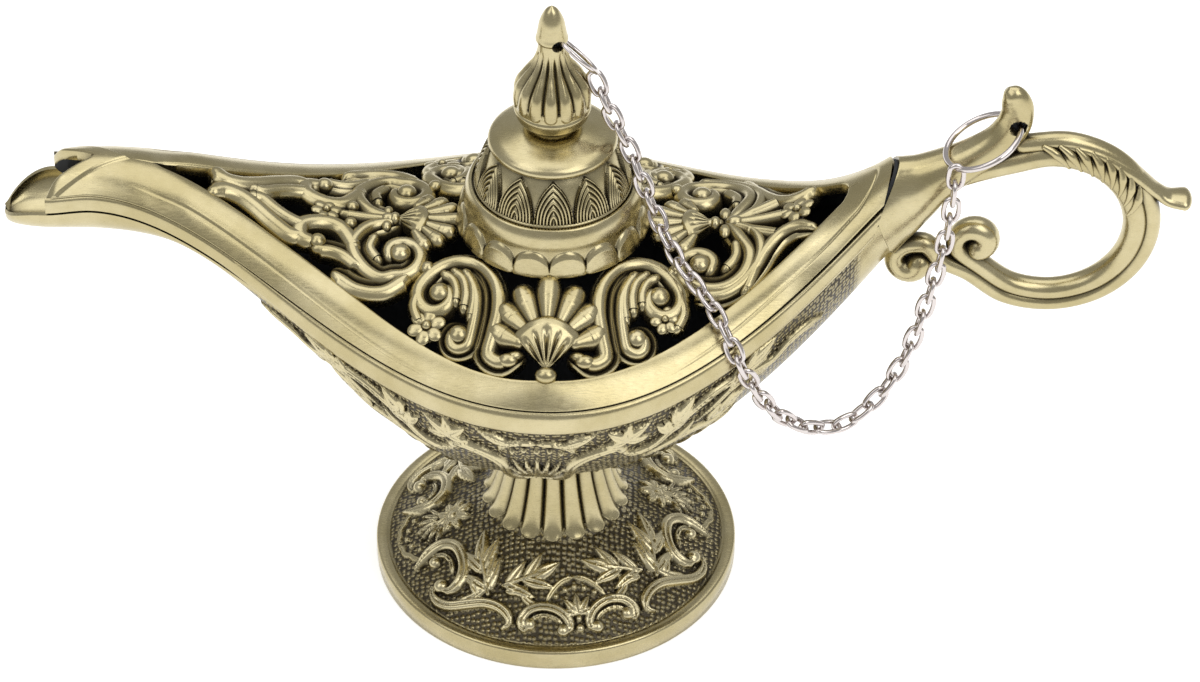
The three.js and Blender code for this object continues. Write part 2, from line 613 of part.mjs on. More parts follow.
// Cover: the plain band with its bead and the roofed spout
function makeCoverRim() {
  const shares = [1, 0.84, 0.5];
  const mirrored = (half) => [...half, ...half.map((p) => point(p.x, -p.y, p.z)).reverse()];
  const outside = (x) => {
    const [halfWidth, z] = seam(x);
    const half = shares.map((s) => point(x, s * rimHalfWidth(x), domeZ(x, s * rimHalfWidth(x))));
    return mirrored([
      point(x, halfWidth, z + FIT),
      point(x, halfWidth + BEAD_PROUD, z + 0.55 * BEAD_HEIGHT),
      ...half,
    ]);
  };
  const foot = BOWL_WALL + FIT + LOCATING_LIP_WALL;
  const inside = (x) => {
    const [halfWidth, z] = seam(x);
    const span = rimHalfWidth(x) - COVER_WALL;
    const half = shares.map((s) => point(x, s * span, rimZ(x) + crown(x) * (1 - s * s) - 1.2 * COVER_WALL));
    return mirrored([point(x, halfWidth - foot, z - 1), point(x, halfWidth - foot, z + FIT), ...half]);
  };
  const shell = solid(loft(SECTIONS.map(outside)));
  const cutEnd = TAIL_REACH - COVER_END_WALL;
  const cutSections = [-SPOUT_REACH - 1, ...SECTIONS.filter((x) => x < cutEnd - 1), cutEnd];
  const hollow = solid(loft(cutSections.map(inside)));
  const top = SPOUT_RIM_Z + CROWN;
  const opening = prism(openingOutline(0), 0, top);
  const notchX = -SPOUT_REACH + NOTCH_DEPTH;
  const notchHalf = SPOUT_HALF_WIDTH + 1;
  const notch = prism([[notchX, 0], [-SPOUT_REACH - 1, notchHalf], [-SPOUT_REACH - 1, -notchHalf]], 0, top);
  const lip = [1, -1].map((side) => {
    const rings = SECTIONS.filter((x) => Math.abs(x) < LOCATING_LIP_REACH).map((x) => {
      const [halfWidth, z] = seam(x);
      const face = halfWidth - BOWL_WALL - FIT;
      const low = z - LOCATING_LIP_DEPTH;
      const high = z + 2 * FIT;
      return [
        point(x, side * (face - EDGE), low),
        point(x, side * face, high),
        point(x, side * (face - LOCATING_LIP_WALL), high),
        point(x, side * (face - LOCATING_LIP_WALL), low),
      ];
    });
    return solid(loft(rings));
  });
  return join([shell.subtract(hollow).subtract(opening).subtract(notch), ...lip]);
}

// Neck ring of the cover, with a row of petals round its foot
function makeNeckRing() {
  const inner = [NECK_BORE, NECK_BOTTOM_Z];
  return turned(
    [
      inner,
      [NECK_RADIUS - 0.9, NECK_BOTTOM_Z, PETAL_DEPTH],
      [NECK_RADIUS + 0.3, NECK_BOTTOM_Z + 0.2 * NECK_HEIGHT, PETAL_DEPTH],
      [NECK_RADIUS - 0.5, NECK_BOTTOM_Z + 0.5 * NECK_HEIGHT],
      [NECK_RADIUS, NECK_BOTTOM_Z + 0.72 * NECK_HEIGHT],
      [NECK_RADIUS - 0.6, NECK_TOP_Z - 0.4],
      [NECK_SEAT_RADIUS, NECK_TOP_Z],
      [NECK_SEAT_RADIUS, CAP_SEAT_Z],
      [NECK_BORE, CAP_SEAT_Z],
      inner,
    ],
    2 * NECK_PETALS,
  );
}

// Scrollwork, in plan as [x, y] points
const RING_CLEAR = NECK_RADIUS + 0.3 + FIT;

/** The point `lift` over the dome at a place of the drawn plan. */
function overDome([u, v], lift) {
  const x = u * (u < 0 ? SPOUT_REACH / DRAWN_SPOUT_REACH : TAIL_REACH / DRAWN_TAIL_REACH);
  const y = v * (HALF_BEAM / DRAWN_HALF_BEAM);
  return point(x, y, domeZ(x, y) + lift);
}
const onDome = (place) => overDome(place, -GRILLE_DROP);
const mirrorX = (line) => line.map(([x, y]) => [-x, y]);
const mirrorY = (line) => line.map(([x, y]) => [x, -y]);

/** A scroll with drawn-in ends, `width` times as wide as the common scroll, ridged where it is narrow. */
function scroll(line, width, count) {
  const size = (t) => {
    const ends = 0.45 + 0.55 * Math.min(1, 5 * Math.min(t, 1 - t));
    return [ends * width * (SCROLL_WIDTH / 2), SCROLL_HEIGHT / 2];
  };
  const section = width > 0.9 ? SCROLL_SECTION : RIDGE_SECTION;
  return sweep(line.map(onDome), size, { count, section, normal: domeNormal });
}

/** A raised piece over a plan outline, from `low` to `high` about the scrollwork's middle. */
function raised(outline, inset, low, high) {
  const centre = outline.reduce(([a, b], [x, y]) => [a + x / outline.length, b + y / outline.length], [0, 0]);
  const ring = (scale, rise) =>
    outline.map(([x, y]) => {
      const p = onDome([centre[0] + scale * (x - centre[0]), centre[1] + scale * (y - centre[1])]);
      return p.setZ(p.z + rise);
    });
  return solid(loft([ring(1, low), ring(inset, high)]));
}

/** A five-petalled flower on the dome. */
function flower([x, y], radius) {
  const outline = Array.from({ length: 10 }, (_, k) => {
    const angle = radians(18 + 36 * k);
    const reach = radius * (k % 2 ? 0.6 : 1);
    return [x + reach * Math.cos(angle), y + reach * Math.sin(angle)];
  });
  return raised(outline, 0.55, -SCROLL_HEIGHT / 2, SCROLL_HEIGHT / 2);
}

/** A scallop shell on the dome: a fan of petals towards `facing` degrees over a cup and a knob. */
function shell([x, y], size, facing) {
  const at = ([angle, radius]) => [
    x + size * radius * Math.cos(radians(facing + angle)),
    y + size * radius * Math.sin(radians(facing + angle)),
  ];
  const half = SCROLL_HEIGHT / 2;
  const petals = [-78, -54, -28, 0, 28, 54, 78].flatMap((angle) => {
    const tip = Math.abs(angle) > 60 ? 9.6 : 8.6;
    return [[angle - 6, tip], [angle + 6, tip], [angle + 13, 5]];
  });
  const back = [[120, 3.4], [180, 3.6], [-120, 3.4]];
  const cup = Array.from({ length: 8 }, (_, k) => [45 * k, 3.4]);
  return join([
    raised([...petals, ...back].map(at), 0.92, -half, 0.7 * half),
    raised(cup.map(at), 0.6, -half, half + 0.6),
    scroll([[180, 1], [180, 4], [180, 6.6]].map(at), 1.3 * size, 2),
  ]);
}

// Each scroll is [line, width, steps]
const FRONT_SCROLLS = [
  [
    [
      [-6, -30.7], [-9.3, -31], [-11, -28.8], [-9.8, -24.6], [-9, -20], [-9.4, -15.6], [-12.3, -11.8],
      [-15.8, -10.4], [-19.4, -11.6], ...spiral([-19.4, -17.1], 3.1, 0.9, 145, 430),
    ],
    1.05,
    13,
  ],
  [
    [
      [-12.7, -12.2], [-10.9, -16], [-10.8, -19.5], [-11.4, -23],
      ...spiral([-15.2, -24.6], 2.7, 0.8, 318, 40),
    ],
    0.85,
    8,
  ],
  [[[-18.6, -11.4], [-16.2, -13.4], [-14.4, -15.9], [-14.6, -19.6]], 0.8, 3],
  [[[-16.6, -10.6], [-13.8, -14], [-12.6, -17], [-13, -20.8]], 0.8, 3],
  [[[-22.4, -17], [-23.8, -19.6], [-21.4, -22.8]], 0.7, 2],
];
const SPOUT_SCROLLS = [
  [
    [
      [-27.5, -0.6], [-32, -2.7], [-34.2, -6.9], [-32.5, -10.5], [-29.4, -12.8],
      ...spiral([-26.3, -8.4], 4, 0.9, 255, 590),
    ],
    1.05,
    13,
  ],
  [[[-36, -14.4], [-33, -15.3], [-29, -15.2], [-26, -13]], 1.1, 3],
  [
    [
      [-42, -8.4], [-44, -7], [-43.6, -4.6], [-41.6, -3], [-39, -2.6], [-36.9, -3.4], [-35.4, -5.4],
      [-34.3, -7.6],
    ],
    0.9,
    8,
  ],
  [[[-41.2, -9.4], [-38.4, -8.4], [-36, -9.2], [-33.4, -10.8]], 0.9, 3],
  [
    [[-59.4, -2.2], [-58, -1.1], [-55.4, -1.1], [-52, -2.9], [-48.7, -5.4], [-45.4, -7.2], [-43.8, -6.8]],
    0.9,
    6,
  ],
  [[[-52.8, -0.9], [-51.4, -0.7], [-48.6, -2.7], [-46.1, -3.9], [-43.5, -4.6]], 0.8, 4],
];
const HANDLE_SCROLLS = [
  [
    [
      [30, -0.8], [32.3, -4], [33.9, -7.4], [33.2, -10.6], [30.5, -12.9], [27.2, -13.6],
      ...spiral([25.8, -9.7], 3.4, 1, 235, -70),
    ],
    1,
    12,
  ],
  [[[31, -0.6], [35, -3.2], [36, -7.2], [34.9, -10.6], [33.4, -14.2]], 0.85, 5],
  [
    [[26.4, -15.8], [30, -15.4], [33.2, -13.6], [36.1, -10.3], [38, -7.2], [40, -5], [42.6, -4.1], [45, -5]],
    1,
    8,
  ],
];
function frontPanel() {
  const scrolls = FRONT_SCROLLS.flatMap(([line, width, count]) => [
    scroll(line, width, count),
    scroll(mirrorX(line), width, count),
  ]);
  const flowers = [-20.6, 20.6].map((x) => flower([x, -23.9], 2.9));
  return join([...scrolls, ...flowers, shell([0, -25.6], 1, 90)]);
}

function endPanel(lines, shellX, stem, flowerX) {
  const scrolls = lines.flatMap(([line, width, count]) => [
    scroll(line, width, count),
    scroll(mirrorY(line), width, count),
  ]);
  const facing = shellX < 0 ? 0 : 180;
  const middle = [shell([shellX, 0], 0.72, facing), scroll(stem, 0.8, 3), flower([flowerX, 0], 2.5)];
  return join([...scrolls, ...middle]);
}

/** What the scrollwork may fill: the opening less a fit all round, and clear of the neck ring. */
function pierced(panel) {
  const top = SPOUT_RIM_Z + CROWN;
  const room = prism(openingOutline(FIT), 0, top);
  const ring = bar(point(0, 0, 0), point(0, 0, top), RING_CLEAR, 12);
  return panel.intersect(room).subtract(ring);
}

function makeGrille() {
  const front = pierced(frontPanel());
  return {
    front,
    back: front.mirror([0, 1, 0]),
    spout: pierced(endPanel(SPOUT_SCROLLS, -23.4, [[-26, 0], [-41, 0]], -39.2)),
    handle: pierced(endPanel(HANDLE_SCROLLS, 24, [[26, 0], [43, 0]], 42.4)),
  };
}

// Cap and finial
function makeCap() {
  const plug = NECK_BORE - FIT;
  const hollow = plug - CAP_WALL;
  const collarTop = CAP_FLANGE_RADIUS - 0.9;
  const body = turned(
    [
      [hollow, CAP_FOOT_Z - CAP_PLUG_DEPTH],
      [plug, CAP_FOOT_Z - CAP_PLUG_DEPTH],
      [plug, CAP_FOOT_Z],
      [CAP_RADIUS, CAP_FOOT_Z],
      [CAP_RADIUS, CAP_FOOT_Z + 1.3],
      [CAP_RADIUS - 1.1, CAP_FOOT_Z + 0.45 * CAP_COLLAR_HEIGHT],
      [collarTop, CAP_FLANGE_Z - 0.7],
      [CAP_FLANGE_RADIUS, CAP_FLANGE_Z],
      [CAP_FLANGE_RADIUS - 0.3, CAP_FLANGE_Z + 1],
      [CAP_FLANGE_RADIUS - 2.4, CAP_FLANGE_Z + 2.1],
      [FINIAL_FOOT_RADIUS + 0.6, CAP_TOP_Z],
      [0, CAP_TOP_Z],
      [0, CAP_FLANGE_Z],
      [collarTop - CAP_WALL - 1, CAP_FLANGE_Z - 1.2],
      [hollow, CAP_FOOT_Z],
      [hollow, CAP_FOOT_Z - CAP_PLUG_DEPTH],
    ],
    24,
  );
  const pinHole = bar(point(0, 0, CAP_FLANGE_Z - 1), point(0, 0, CAP_TOP_Z + 1), FINIAL_PIN_RADIUS + FIT);
  return body.subtract(pinHole);
}

function makeFinial() {
  const at = (share) => FINIAL_FOOT_Z + share * FINIAL_HEIGHT;
  const body = turned(
    [
      [0, FINIAL_FOOT_Z - FINIAL_PIN_LENGTH],
      [FINIAL_PIN_RADIUS, FINIAL_FOOT_Z - FINIAL_PIN_LENGTH],
      [FINIAL_PIN_RADIUS, FINIAL_FOOT_Z],
      [FINIAL_FOOT_RADIUS, FINIAL_FOOT_Z],
      [FINIAL_FOOT_RADIUS, at(0.03)],
      [FINIAL_RADIUS - 0.3, at(0.11)],
      [FINIAL_RADIUS, at(0.24), FINIAL_FLUTE_DEPTH],
      [0.86 * FINIAL_RADIUS, at(0.36), FINIAL_FLUTE_DEPTH],
      [0.6 * FINIAL_RADIUS, at(0.5), FINIAL_FLUTE_DEPTH],
      [FINIAL_TIP_RADIUS, at(0.62), FINIAL_FLUTE_DEPTH / 2],
      [FINIAL_TIP_RADIUS - 0.2, at(0.68)],
      [FINIAL_TIP_RADIUS, at(0.75)],
      [0.7 * FINIAL_TIP_RADIUS, at(0.92)],
      [0, FINIAL_TIP_Z],
    ],
    2 * FINIAL_FLUTES,
  );
  const hole = bar(
    point(FINIAL_HOLE_OFFSET, -8, FINIAL_HOLE_Z),
    point(FINIAL_HOLE_OFFSET, 8, FINIAL_HOLE_Z),
    FINIAL_HOLE_RADIUS,
    5,
  );
  return body.subtract(hole);
}

// Rings and chain
/** A closed loop of round wire through points in a plane with the given normal. */
function wireLoop(points, normal, wire, sides) {
  const rings = points.map((p, i) => {
    const before = points.at(i - 1);
    const after = points[(i + 1) % points.length];
    const outward = after.clone().sub(before).cross(normal).normalize();
    return Array.from({ length: sides }, (_, k) => {
      const angle = (2 * Math.PI * k) / sides;
      return p
        .clone()
        .addScaledVector(outward, wire * Math.cos(angle))
        .addScaledVector(normal, wire * Math.sin(angle));
    });
  });
  return geometryOf(solid(loft(rings, true)));
}

/** A ring that hangs from a hook along `fall`, its wire along Y at the hook, as a function of degrees. */
function hangingRing(hook, fall, radius) {
  const down = fall.clone().normalize();
  const along = point(0, 1, 0).addScaledVector(down, -down.y).normalize();
  const centre = hook.clone().addScaledVector(down, radius);
  const at = (degrees) =>
    centre
      .clone()
      .addScaledVector(down, radius * Math.cos(radians(degrees)))
      .addScaledVector(along, radius * Math.sin(radians(degrees)));
  return { at, normal: down.clone().cross(along) };
}

const ringWire = ({ at, normal }, wire) =>
  wireLoop(Array.from({ length: 18 }, (_, i) => at(20 * i)), normal, wire, 4);

const finialHook = point(FINIAL_HOLE_OFFSET - FIT, 0, FINIAL_HOLE_Z + FIT);
const finialRing = hangingRing(finialHook, point(1, 0, -1), FINIAL_RING_RADIUS);
const handleHook = point(TAB_HOLE_X, 0, TAB_HOLE_Z);
const handleRing = hangingRing(handleHook, point(-12.4, -4.2, -5.9), HANDLE_RING_RADIUS);

/** Middle of a link that hangs in a ring, `towards` the chain. */
function hungFrom(ringPoint, wire, towards) {
  const reach = LINK_LENGTH / 2 - 2 * LINK_WIRE - wire - FIT / 2;
  return ringPoint.clone().addScaledVector(towards.clone().normalize(), reach);
}

/** A place beside the cap: shares of the neck's radius, and of the height up to the finial's hole. */
const besideCap = (u, v, share) =>
  point(u * NECK_RADIUS, -v * NECK_RADIUS, NECK_TOP_Z + share * (FINIAL_HOLE_Z - NECK_TOP_Z));

/** A place of the hanging loop: a place of the drawn plan, and a share of the bowl's depth. */
const hanging = (u, v, share) => overDome([u, v], 0).setZ(RIM_Z - share * BOWL_DEPTH);

/** The chain's line, from the finial's ring over the cover's edge to the ring on the handle. */
const CHAIN_ROUTE = [
  hungFrom(finialRing.at(0), FINIAL_RING_WIRE, point(0.39, -0.21, -0.89)),
  besideCap(0.648, 0.113, 0.54),
  besideCap(0.843, 0.2, 0.316),
  besideCap(0.969, 0.314, 0.147),
  besideCap(1.132, 0.415, -0.077),
  overDome([20, -9.4], 4.6),
  overDome([23, -14], 3.6),
  overDome([27.4, -19.4], 3.3),
  overDome([30.4, -23.4], 2.75),
  hanging(33, -25.4, -0.066),
  hanging(35.6, -24.4, 0.128),
  hanging(38.6, -23, 0.309),
  hanging(42.6, -21, 0.466),
  hanging(47, -18.8, 0.559),
  hanging(51.4, -16.8, 0.578),
  hanging(55.4, -14.8, 0.516),
  hanging(59, -13, 0.397),
  hanging(62, -11.6, 0.216),
  hanging(64.4, -10.4, -0.016),
  hanging(66.4, -9.4, -0.278),
  hanging(68, -8.6, -0.547),
  hanging(68.8, -8, -0.778),
  hungFrom(handleRing.at(-32), HANDLE_RING_WIRE, point(-0.05, 0, -1)),
];
const LINK_PITCH = LINK_LENGTH - 4 * LINK_WIRE - 0.6 * FIT;

function makeLink() {
  const half = LINK_LENGTH / 2 - LINK_WIRE;
  const turn = LINK_WIDTH / 2 - LINK_WIRE;
  const quarter = [-65, 0, 65].map(radians);
  const end = quarter.map((a) => [half - turn + turn * Math.cos(a), turn * Math.sin(a)]);
  const outline = [...end, ...end.map(([x, y]) => [-x, -y])];
  return wireLoop(outline.map(([x, y]) => point(x, y, 0)), point(0, 0, 1), LINK_WIRE, 3);
}

/** One link for each pitch along the route, each turned a quarter from the last. */
function placeLinks(group) {
  const curve = new THREE.CatmullRomCurve3(CHAIN_ROUTE, false, 'centripetal');
  curve.arcLengthDivisions = 2000;
  const count = Math.round(curve.getLength() / LINK_PITCH) + 1;
  const geometry = makeLink();
  for (let i = 0; i < count; i++) {
    const t = i / (count - 1);
    const along = curve.getTangentAt(t);
    const sideways = point(0, 1, 0).addScaledVector(along, -along.y).normalize();
    const across = along.clone().cross(sideways);
    const flat = i % 2 ? sideways : across.negate();
    const face = along.clone().cross(flat);
    const link = new THREE.Mesh(geometry, materials.nickel);
    link.name = `chain_link_${String(i + 1).padStart(2, '0')}`;
    link.position.copy(curve.getPointAt(t));
    link.quaternion.setFromRotationMatrix(new THREE.Matrix4().makeBasis(along, flat, face));
    group.add(link);
  }
}

// The assembly
const lamp = new THREE.Group();
const groups = {
  body: new THREE.Group(),
  cover: new THREE.Group(),
  cap: new THREE.Group(),
  chain: new THREE.Group(),
};
lamp.add(...Object.values(groups));

function place(group, name, shape, material) {
  const geometry = shape.isBufferGeometry ? shape : geometryOf(shape);
  const mesh = new THREE.Mesh(geometry, material);
  mesh.name = name;
  group.add(mesh);
}

place(groups.body, 'foot', makeFoot(), materials.brass);
place(groups.body, 'base_pad', makePad(), materials.felt);
place(groups.body, 'stem_screw', makeScrew(), materials.steel);
place(groups.body, 'bowl', makeBowl(), materials.brass);
place(groups.body, 'handle', makeHandle(), materials.brass);
place(groups.body, 'handle_ring', ringWire(handleRing, HANDLE_RING_WIRE), materials.nickel);
place(groups.cover, 'cover_rim', makeCoverRim(), materials.brass);
place(groups.cover, 'neck_ring', makeNeckRing(), materials.brass);
const grille = makeGrille();
for (const [side, panel] of Object.entries(grille)) {
  place(groups.cover, `grille_${side}`, panel, materials.brass);
}
place(groups.cap, 'cap', makeCap(), materials.brass);
place(groups.cap, 'finial', makeFinial(), materials.brass);
place(groups.cap, 'finial_ring', ringWire(finialRing, FINIAL_RING_WIRE), materials.nickel);
placeLinks(groups.chain);

export default lamp;
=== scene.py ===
# A lamp-shaped incense burner in antique brass with a nickel keeper chain, on a pale floor.
# Each piece's fine surface is built in millimetres from the CAD model's own sizes and set in metres.
import math

import bmesh
import bpy
import numpy as np
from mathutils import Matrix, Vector


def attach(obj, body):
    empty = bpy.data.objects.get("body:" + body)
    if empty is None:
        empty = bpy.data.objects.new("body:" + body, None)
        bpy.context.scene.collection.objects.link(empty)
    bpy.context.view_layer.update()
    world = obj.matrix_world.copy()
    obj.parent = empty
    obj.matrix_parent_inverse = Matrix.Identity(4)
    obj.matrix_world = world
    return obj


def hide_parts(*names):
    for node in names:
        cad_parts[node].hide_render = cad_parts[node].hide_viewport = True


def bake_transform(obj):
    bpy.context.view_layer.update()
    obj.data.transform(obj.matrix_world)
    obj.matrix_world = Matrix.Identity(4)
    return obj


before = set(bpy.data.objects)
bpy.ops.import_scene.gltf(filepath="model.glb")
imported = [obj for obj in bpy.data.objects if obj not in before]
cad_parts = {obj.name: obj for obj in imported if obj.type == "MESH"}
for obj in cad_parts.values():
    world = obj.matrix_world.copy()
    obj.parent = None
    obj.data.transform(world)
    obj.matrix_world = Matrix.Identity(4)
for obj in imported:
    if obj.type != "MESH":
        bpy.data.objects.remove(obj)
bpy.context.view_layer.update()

MM = 0.001
FIT = 0.3

# Sizes of the CAD model, in millimetres
FOOT_RADIUS = 33
FOOT_RIM_HEIGHT = 4
FOOT_RIM_WIDTH = 1.8
FIELD_RADIUS = FOOT_RADIUS - FOOT_RIM_WIDTH
PAD_RADIUS = 29
PAD_SEAT_Z = 1.3
STEM_BASE_Z = 13.7
STEM_BASE_RADIUS = 12.9
STEM_WAIST_RADIUS = 9
STEM_TOP_RADIUS = 10.5
STEM_FLUTES = 18
FLUTE_DEPTH = 0.9
BOWL_BOTTOM_Z = 32.5
STEM_TOP_Z = BOWL_BOTTOM_Z - FIT
BOWL_WALL = 2
SPOUT_REACH = 88
LIP_REACH = 96
TAIL_REACH = 58.5
HALF_BEAM = 36.5
SPOUT_HALF_WIDTH = 6.6
TAIL_HALF_WIDTH = 5.5
RIM_Z = 64.5
SPOUT_RISE = 21.1
TAIL_RISE = 23.5
TAIL_RIM_Z = RIM_Z + TAIL_RISE
LIP_Z = 77
SPOUT_KEEL_Z = 75
TAIL_KEEL_Z = 72
BEAD_HEIGHT = 3.6
SEAM_PROUD = 0.4
CROWN = 16
SPOUT_CROWN = 3
TAIL_CROWN = 3.5
BAND_WIDTH = 4.2
SPOUT_BAND_WIDTH = 8.4
TAIL_BAND_WIDTH = 7.4
OPENING_END = 51.2
NOTCH_X = -79.5
COVER_GAP = 0.6
COVER_END_WALL = 5
NECK_BORE = 12.3
NECK_RADIUS = 15.9
NECK_BOTTOM_Z = 77
NECK_HEIGHT = 9
NECK_TOP_Z = NECK_BOTTOM_Z + NECK_HEIGHT
NECK_PETALS = 16
CAP_RADIUS = 13.8
CAP_FOOT_Z = 84.9
CAP_FLANGE_Z = 94.7
CAP_FLANGE_RADIUS = 11.2
CAP_TOP_Z = 97.9
CAP_ARCHES = 12
ARCH_ROUND = 2.0  # radius of each side of a pointed arch, in its half widths
FINIAL_FOOT_Z = 98.2
FINIAL_HEIGHT = 24.7
FINIAL_FOOT_RADIUS = 4.6
FINIAL_RADIUS = 6.8
FINIAL_TIP_RADIUS = 2.6
FINIAL_FLUTES = 14
FINIAL_HOLE = (1.2, 115.9)
FINIAL_HOLE_RADIUS = 1.1
GRILLE_DROP = 0.9
SCROLL_WIDTH = 2.6
LOOP_X = 86.1
LOOP_Z = 79
LOOP_INNER_RADIUS = 15
LOOP_OUTER_RADIUS = 17.7
INNER_TUBE_RADIUS = 2.1
OUTER_TUBE_RADIUS = 1.6
TAB_HOLE = (79.7, 100.4)
TAB_HOLE_RADIUS = 1.45
FINIAL_RING_RADIUS = 4.7
FINIAL_RING_WIRE = 0.4
HANDLE_RING_RADIUS = 6.9
HANDLE_RING_WIRE = 0.55
LINK_LENGTH = 5.4
LINK_WIDTH = 3.5
LINK_WIRE = 0.45
LINK_PITCH = LINK_LENGTH - 4 * LINK_WIRE - 0.6 * FIT

# Where the photograph was taken from, in metres
CAMERA_PLACE = (0.03086, -0.65074, 0.59588)
CAMERA_TARGET = (0.00814, 0, 0.04951)
CAMERA_LENS = 143.2


# Small tools
def smooth(t, start, end):
    """Eases from 0 to 1 as t goes from start to end."""
    share = np.clip((np.asarray(t, float) - start) / (end - start), 0, 1)
    return share * share * (3 - 2 * share)


def unit(vectors):
    """The same directions at length one."""
    vectors = np.asarray(vectors, float)
    return vectors / np.maximum(np.linalg.norm(vectors, axis=-1, keepdims=True), 1e-9)


def full_turn(count):
    """Angles all round a circle, as one row."""
    return np.linspace(0, 2 * math.pi, count, endpoint=False)[None]


def reach_along(lines):
    """Length along each line up to each of its points."""
    steps = np.diff(lines, axis=-2, prepend=lines[..., :1, :])
    return np.linalg.norm(steps, axis=-1).cumsum(-1)


def curve(points, count):
    """Evenly spaced points on a smooth line through the given ones."""
    p = np.array(points, float)
    p = np.vstack([2 * p[0] - p[1], p, 2 * p[-1] - p[-2]])
    stretches = []
    for a, b, c, d in zip(p, p[1:], p[2:], p[3:]):
        t1 = np.linalg.norm(b - a) ** 0.5
        t2 = t1 + np.linalg.norm(c - b) ** 0.5
        t3 = t2 + np.linalg.norm(d - c) ** 0.5
        t = np.linspace(t1, t2, 17)[:-1, None]
        ab = a + (b - a) * t / t1
        bc = b + (c - b) * (t - t1) / (t2 - t1)
        cd = c + (d - c) * (t - t2) / (t3 - t2)
        abc = ab + (bc - ab) * t / t2
        bcd = bc + (cd - bc) * (t - t1) / (t3 - t1)
        stretches.append(abc + (bcd - abc) * (t - t1) / (t2 - t1))
    fine = np.vstack([*stretches, p[-2:-1]])
    reach = reach_along(fine)
    at = np.linspace(0, reach[-1], count)
    return np.stack([np.interp(at, reach, axis) for axis in fine.T], axis=1)


def spiral(centre, start_radius, end_radius, start_angle, end_angle):
    """Points of a plane spiral, with angles in degrees."""
    count = math.ceil(abs(end_angle - start_angle) / 30) + 1
    angle = np.radians(np.linspace(start_angle, end_angle, count))
    radius = np.linspace(start_radius, end_radius, count)
    return [[centre[0] + r * math.cos(a), centre[1] + r * math.sin(a)] for a, r in zip(angle, radius)]


class Shape:
    """A surface gathered from grids of points, each with a mark for its ground and a flat place on it."""

    def __init__(self):
        self.points = []
        self.ground = []
        self.grain = []
        self.faces = []
        self.dark_faces = set()
        self.count = 0

    def grid(self, points, around=False, caps=False, ground=0.0, grain=0.0, dark=False):
        """Adds rows of points as quads.

        around joins the last column to the first. ground is 1 on pebbled ground, darkened as patina and
        painted shade, and -1 on the relief, which has polish and is lightened partly as a painted highlight.
        grain is the flat place on that ground in millimetres, and dark marks quads of the near-black
        material: the bowl's dark inside, and painted shade under the band and in the handle's slot.
        """
        rows, columns = points.shape[:2]
        number = self.count + np.arange(rows * columns).reshape(rows, columns)
        wide = np.hstack([number, number[:, :1]]) if around else number
        corners = [wide[:-1, :-1], wide[:-1, 1:], wide[1:, 1:], wide[1:, :-1]]
        first = len(self.faces)
        self.faces += np.stack(corners, -1).reshape(-1, 4).tolist()
        if caps:
            self.faces.append(number[0, ::-1].tolist())
            self.faces.append(number[-1].tolist())
        flags = np.broadcast_to(dark, (rows - 1, wide.shape[1] - 1)).ravel()
        self.dark_faces.update((first + np.flatnonzero(flags)).tolist())
        self.points.append(points.reshape(-1, 3))
        self.ground.append(np.broadcast_to(ground, (rows, columns)).ravel())
        self.grain.append(np.broadcast_to(grain, (rows, columns, 3)).reshape(-1, 3))
        self.count += rows * columns


def piece(name, shape, body, nodes, materials, crease=50):
    """Makes a shape a piece of the object that rides on a body, if one is given, and stands for nodes."""
    mesh = bpy.data.meshes.new(name)
    mesh.from_pydata((np.vstack(shape.points) * MM).tolist(), [], shape.faces)
    for material in materials:
        mesh.materials.append(material)
    for number in shape.dark_faces:
        mesh.polygons[number].material_index = 1
    mesh.attributes.new("ground", "FLOAT", "POINT").data.foreach_set(
        "value", np.concatenate(shape.ground).astype(np.float32)
    )
    mesh.attributes.new("grain", "FLOAT_VECTOR", "POINT").data.foreach_set(
        "vector", np.vstack(shape.grain).astype(np.float32).ravel()
    )
    tidy = bmesh.new()
    tidy.from_mesh(mesh)
    bmesh.ops.recalc_face_normals(tidy, faces=tidy.faces)
    tidy.to_mesh(mesh)
    tidy.free()
    mesh.polygons.foreach_set("use_smooth", np.ones(len(mesh.polygons), bool))
    mesh.set_sharp_from_angle(angle=math.radians(crease))
    obj = bpy.data.objects.new(name, mesh)
    bpy.context.scene.collection.objects.link(obj)
    if body:
        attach(obj, body)
    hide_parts(*nodes)
    return obj


def circle_section(sides=14):
    """Unit section of a round bar, as (across, up) points."""
    angle = 2 * math.pi * (np.arange(sides) + 0.5) / sides
    return np.stack([np.cos(angle), np.sin(angle)], 1)


ROUND = circle_section()
# A broad rib with a thin one beside it, parted by a groove
RIBBED = np.array(
    [
        (-0.6, -1), (-1, -0.6), (-1, 0), (-0.88, 0.5), (-0.62, 0.86), (-0.28, 1), (0.05, 0.9), (0.28, 0.58),
        (0.38, 0.2), (0.48, 0.44), (0.66, 0.66), (0.86, 0.5), (1, 0.1), (1, -0.6), (0.6, -1),
    ]
)
END_TURNS = np.radians([84, 64, 44, 22])  # of the rows that round off the ends of a bar


def bar(shape, line, half_width, half_height, up, section=ROUND):
    """A bar with rounded ends along a line, its section's height along `up`."""
    line = np.asarray(line, float)
    count = len(line)
    half_width = np.broadcast_to(half_width, count)
    half_height = np.broadcast_to(half_height, count)
    along = unit(np.gradient(line, axis=0))
    across = unit(np.cross(along, np.broadcast_to(up, line.shape)))
    rise = np.cross(across, along)
    rows = len(END_TURNS)
    order = np.r_[[0] * rows, np.arange(count), [count - 1] * rows]
    scale = np.r_[np.cos(END_TURNS), np.ones(count), np.cos(END_TURNS[::-1])]
    shift = np.r_[-np.sin(END_TURNS), np.zeros(count), np.sin(END_TURNS[::-1])] * half_width[order]
    middle = line[order] + along[order] * shift[:, None]
    wide = across[order] * (half_width[order] * scale)[:, None]
    high = rise[order] * (half_height[order] * scale)[:, None]
    rings = middle[:, None] + section[None, :, :1] * wide[:, None] + section[None, :, 1:] * high[:, None]
    shape.grid(rings, around=True, caps=True)


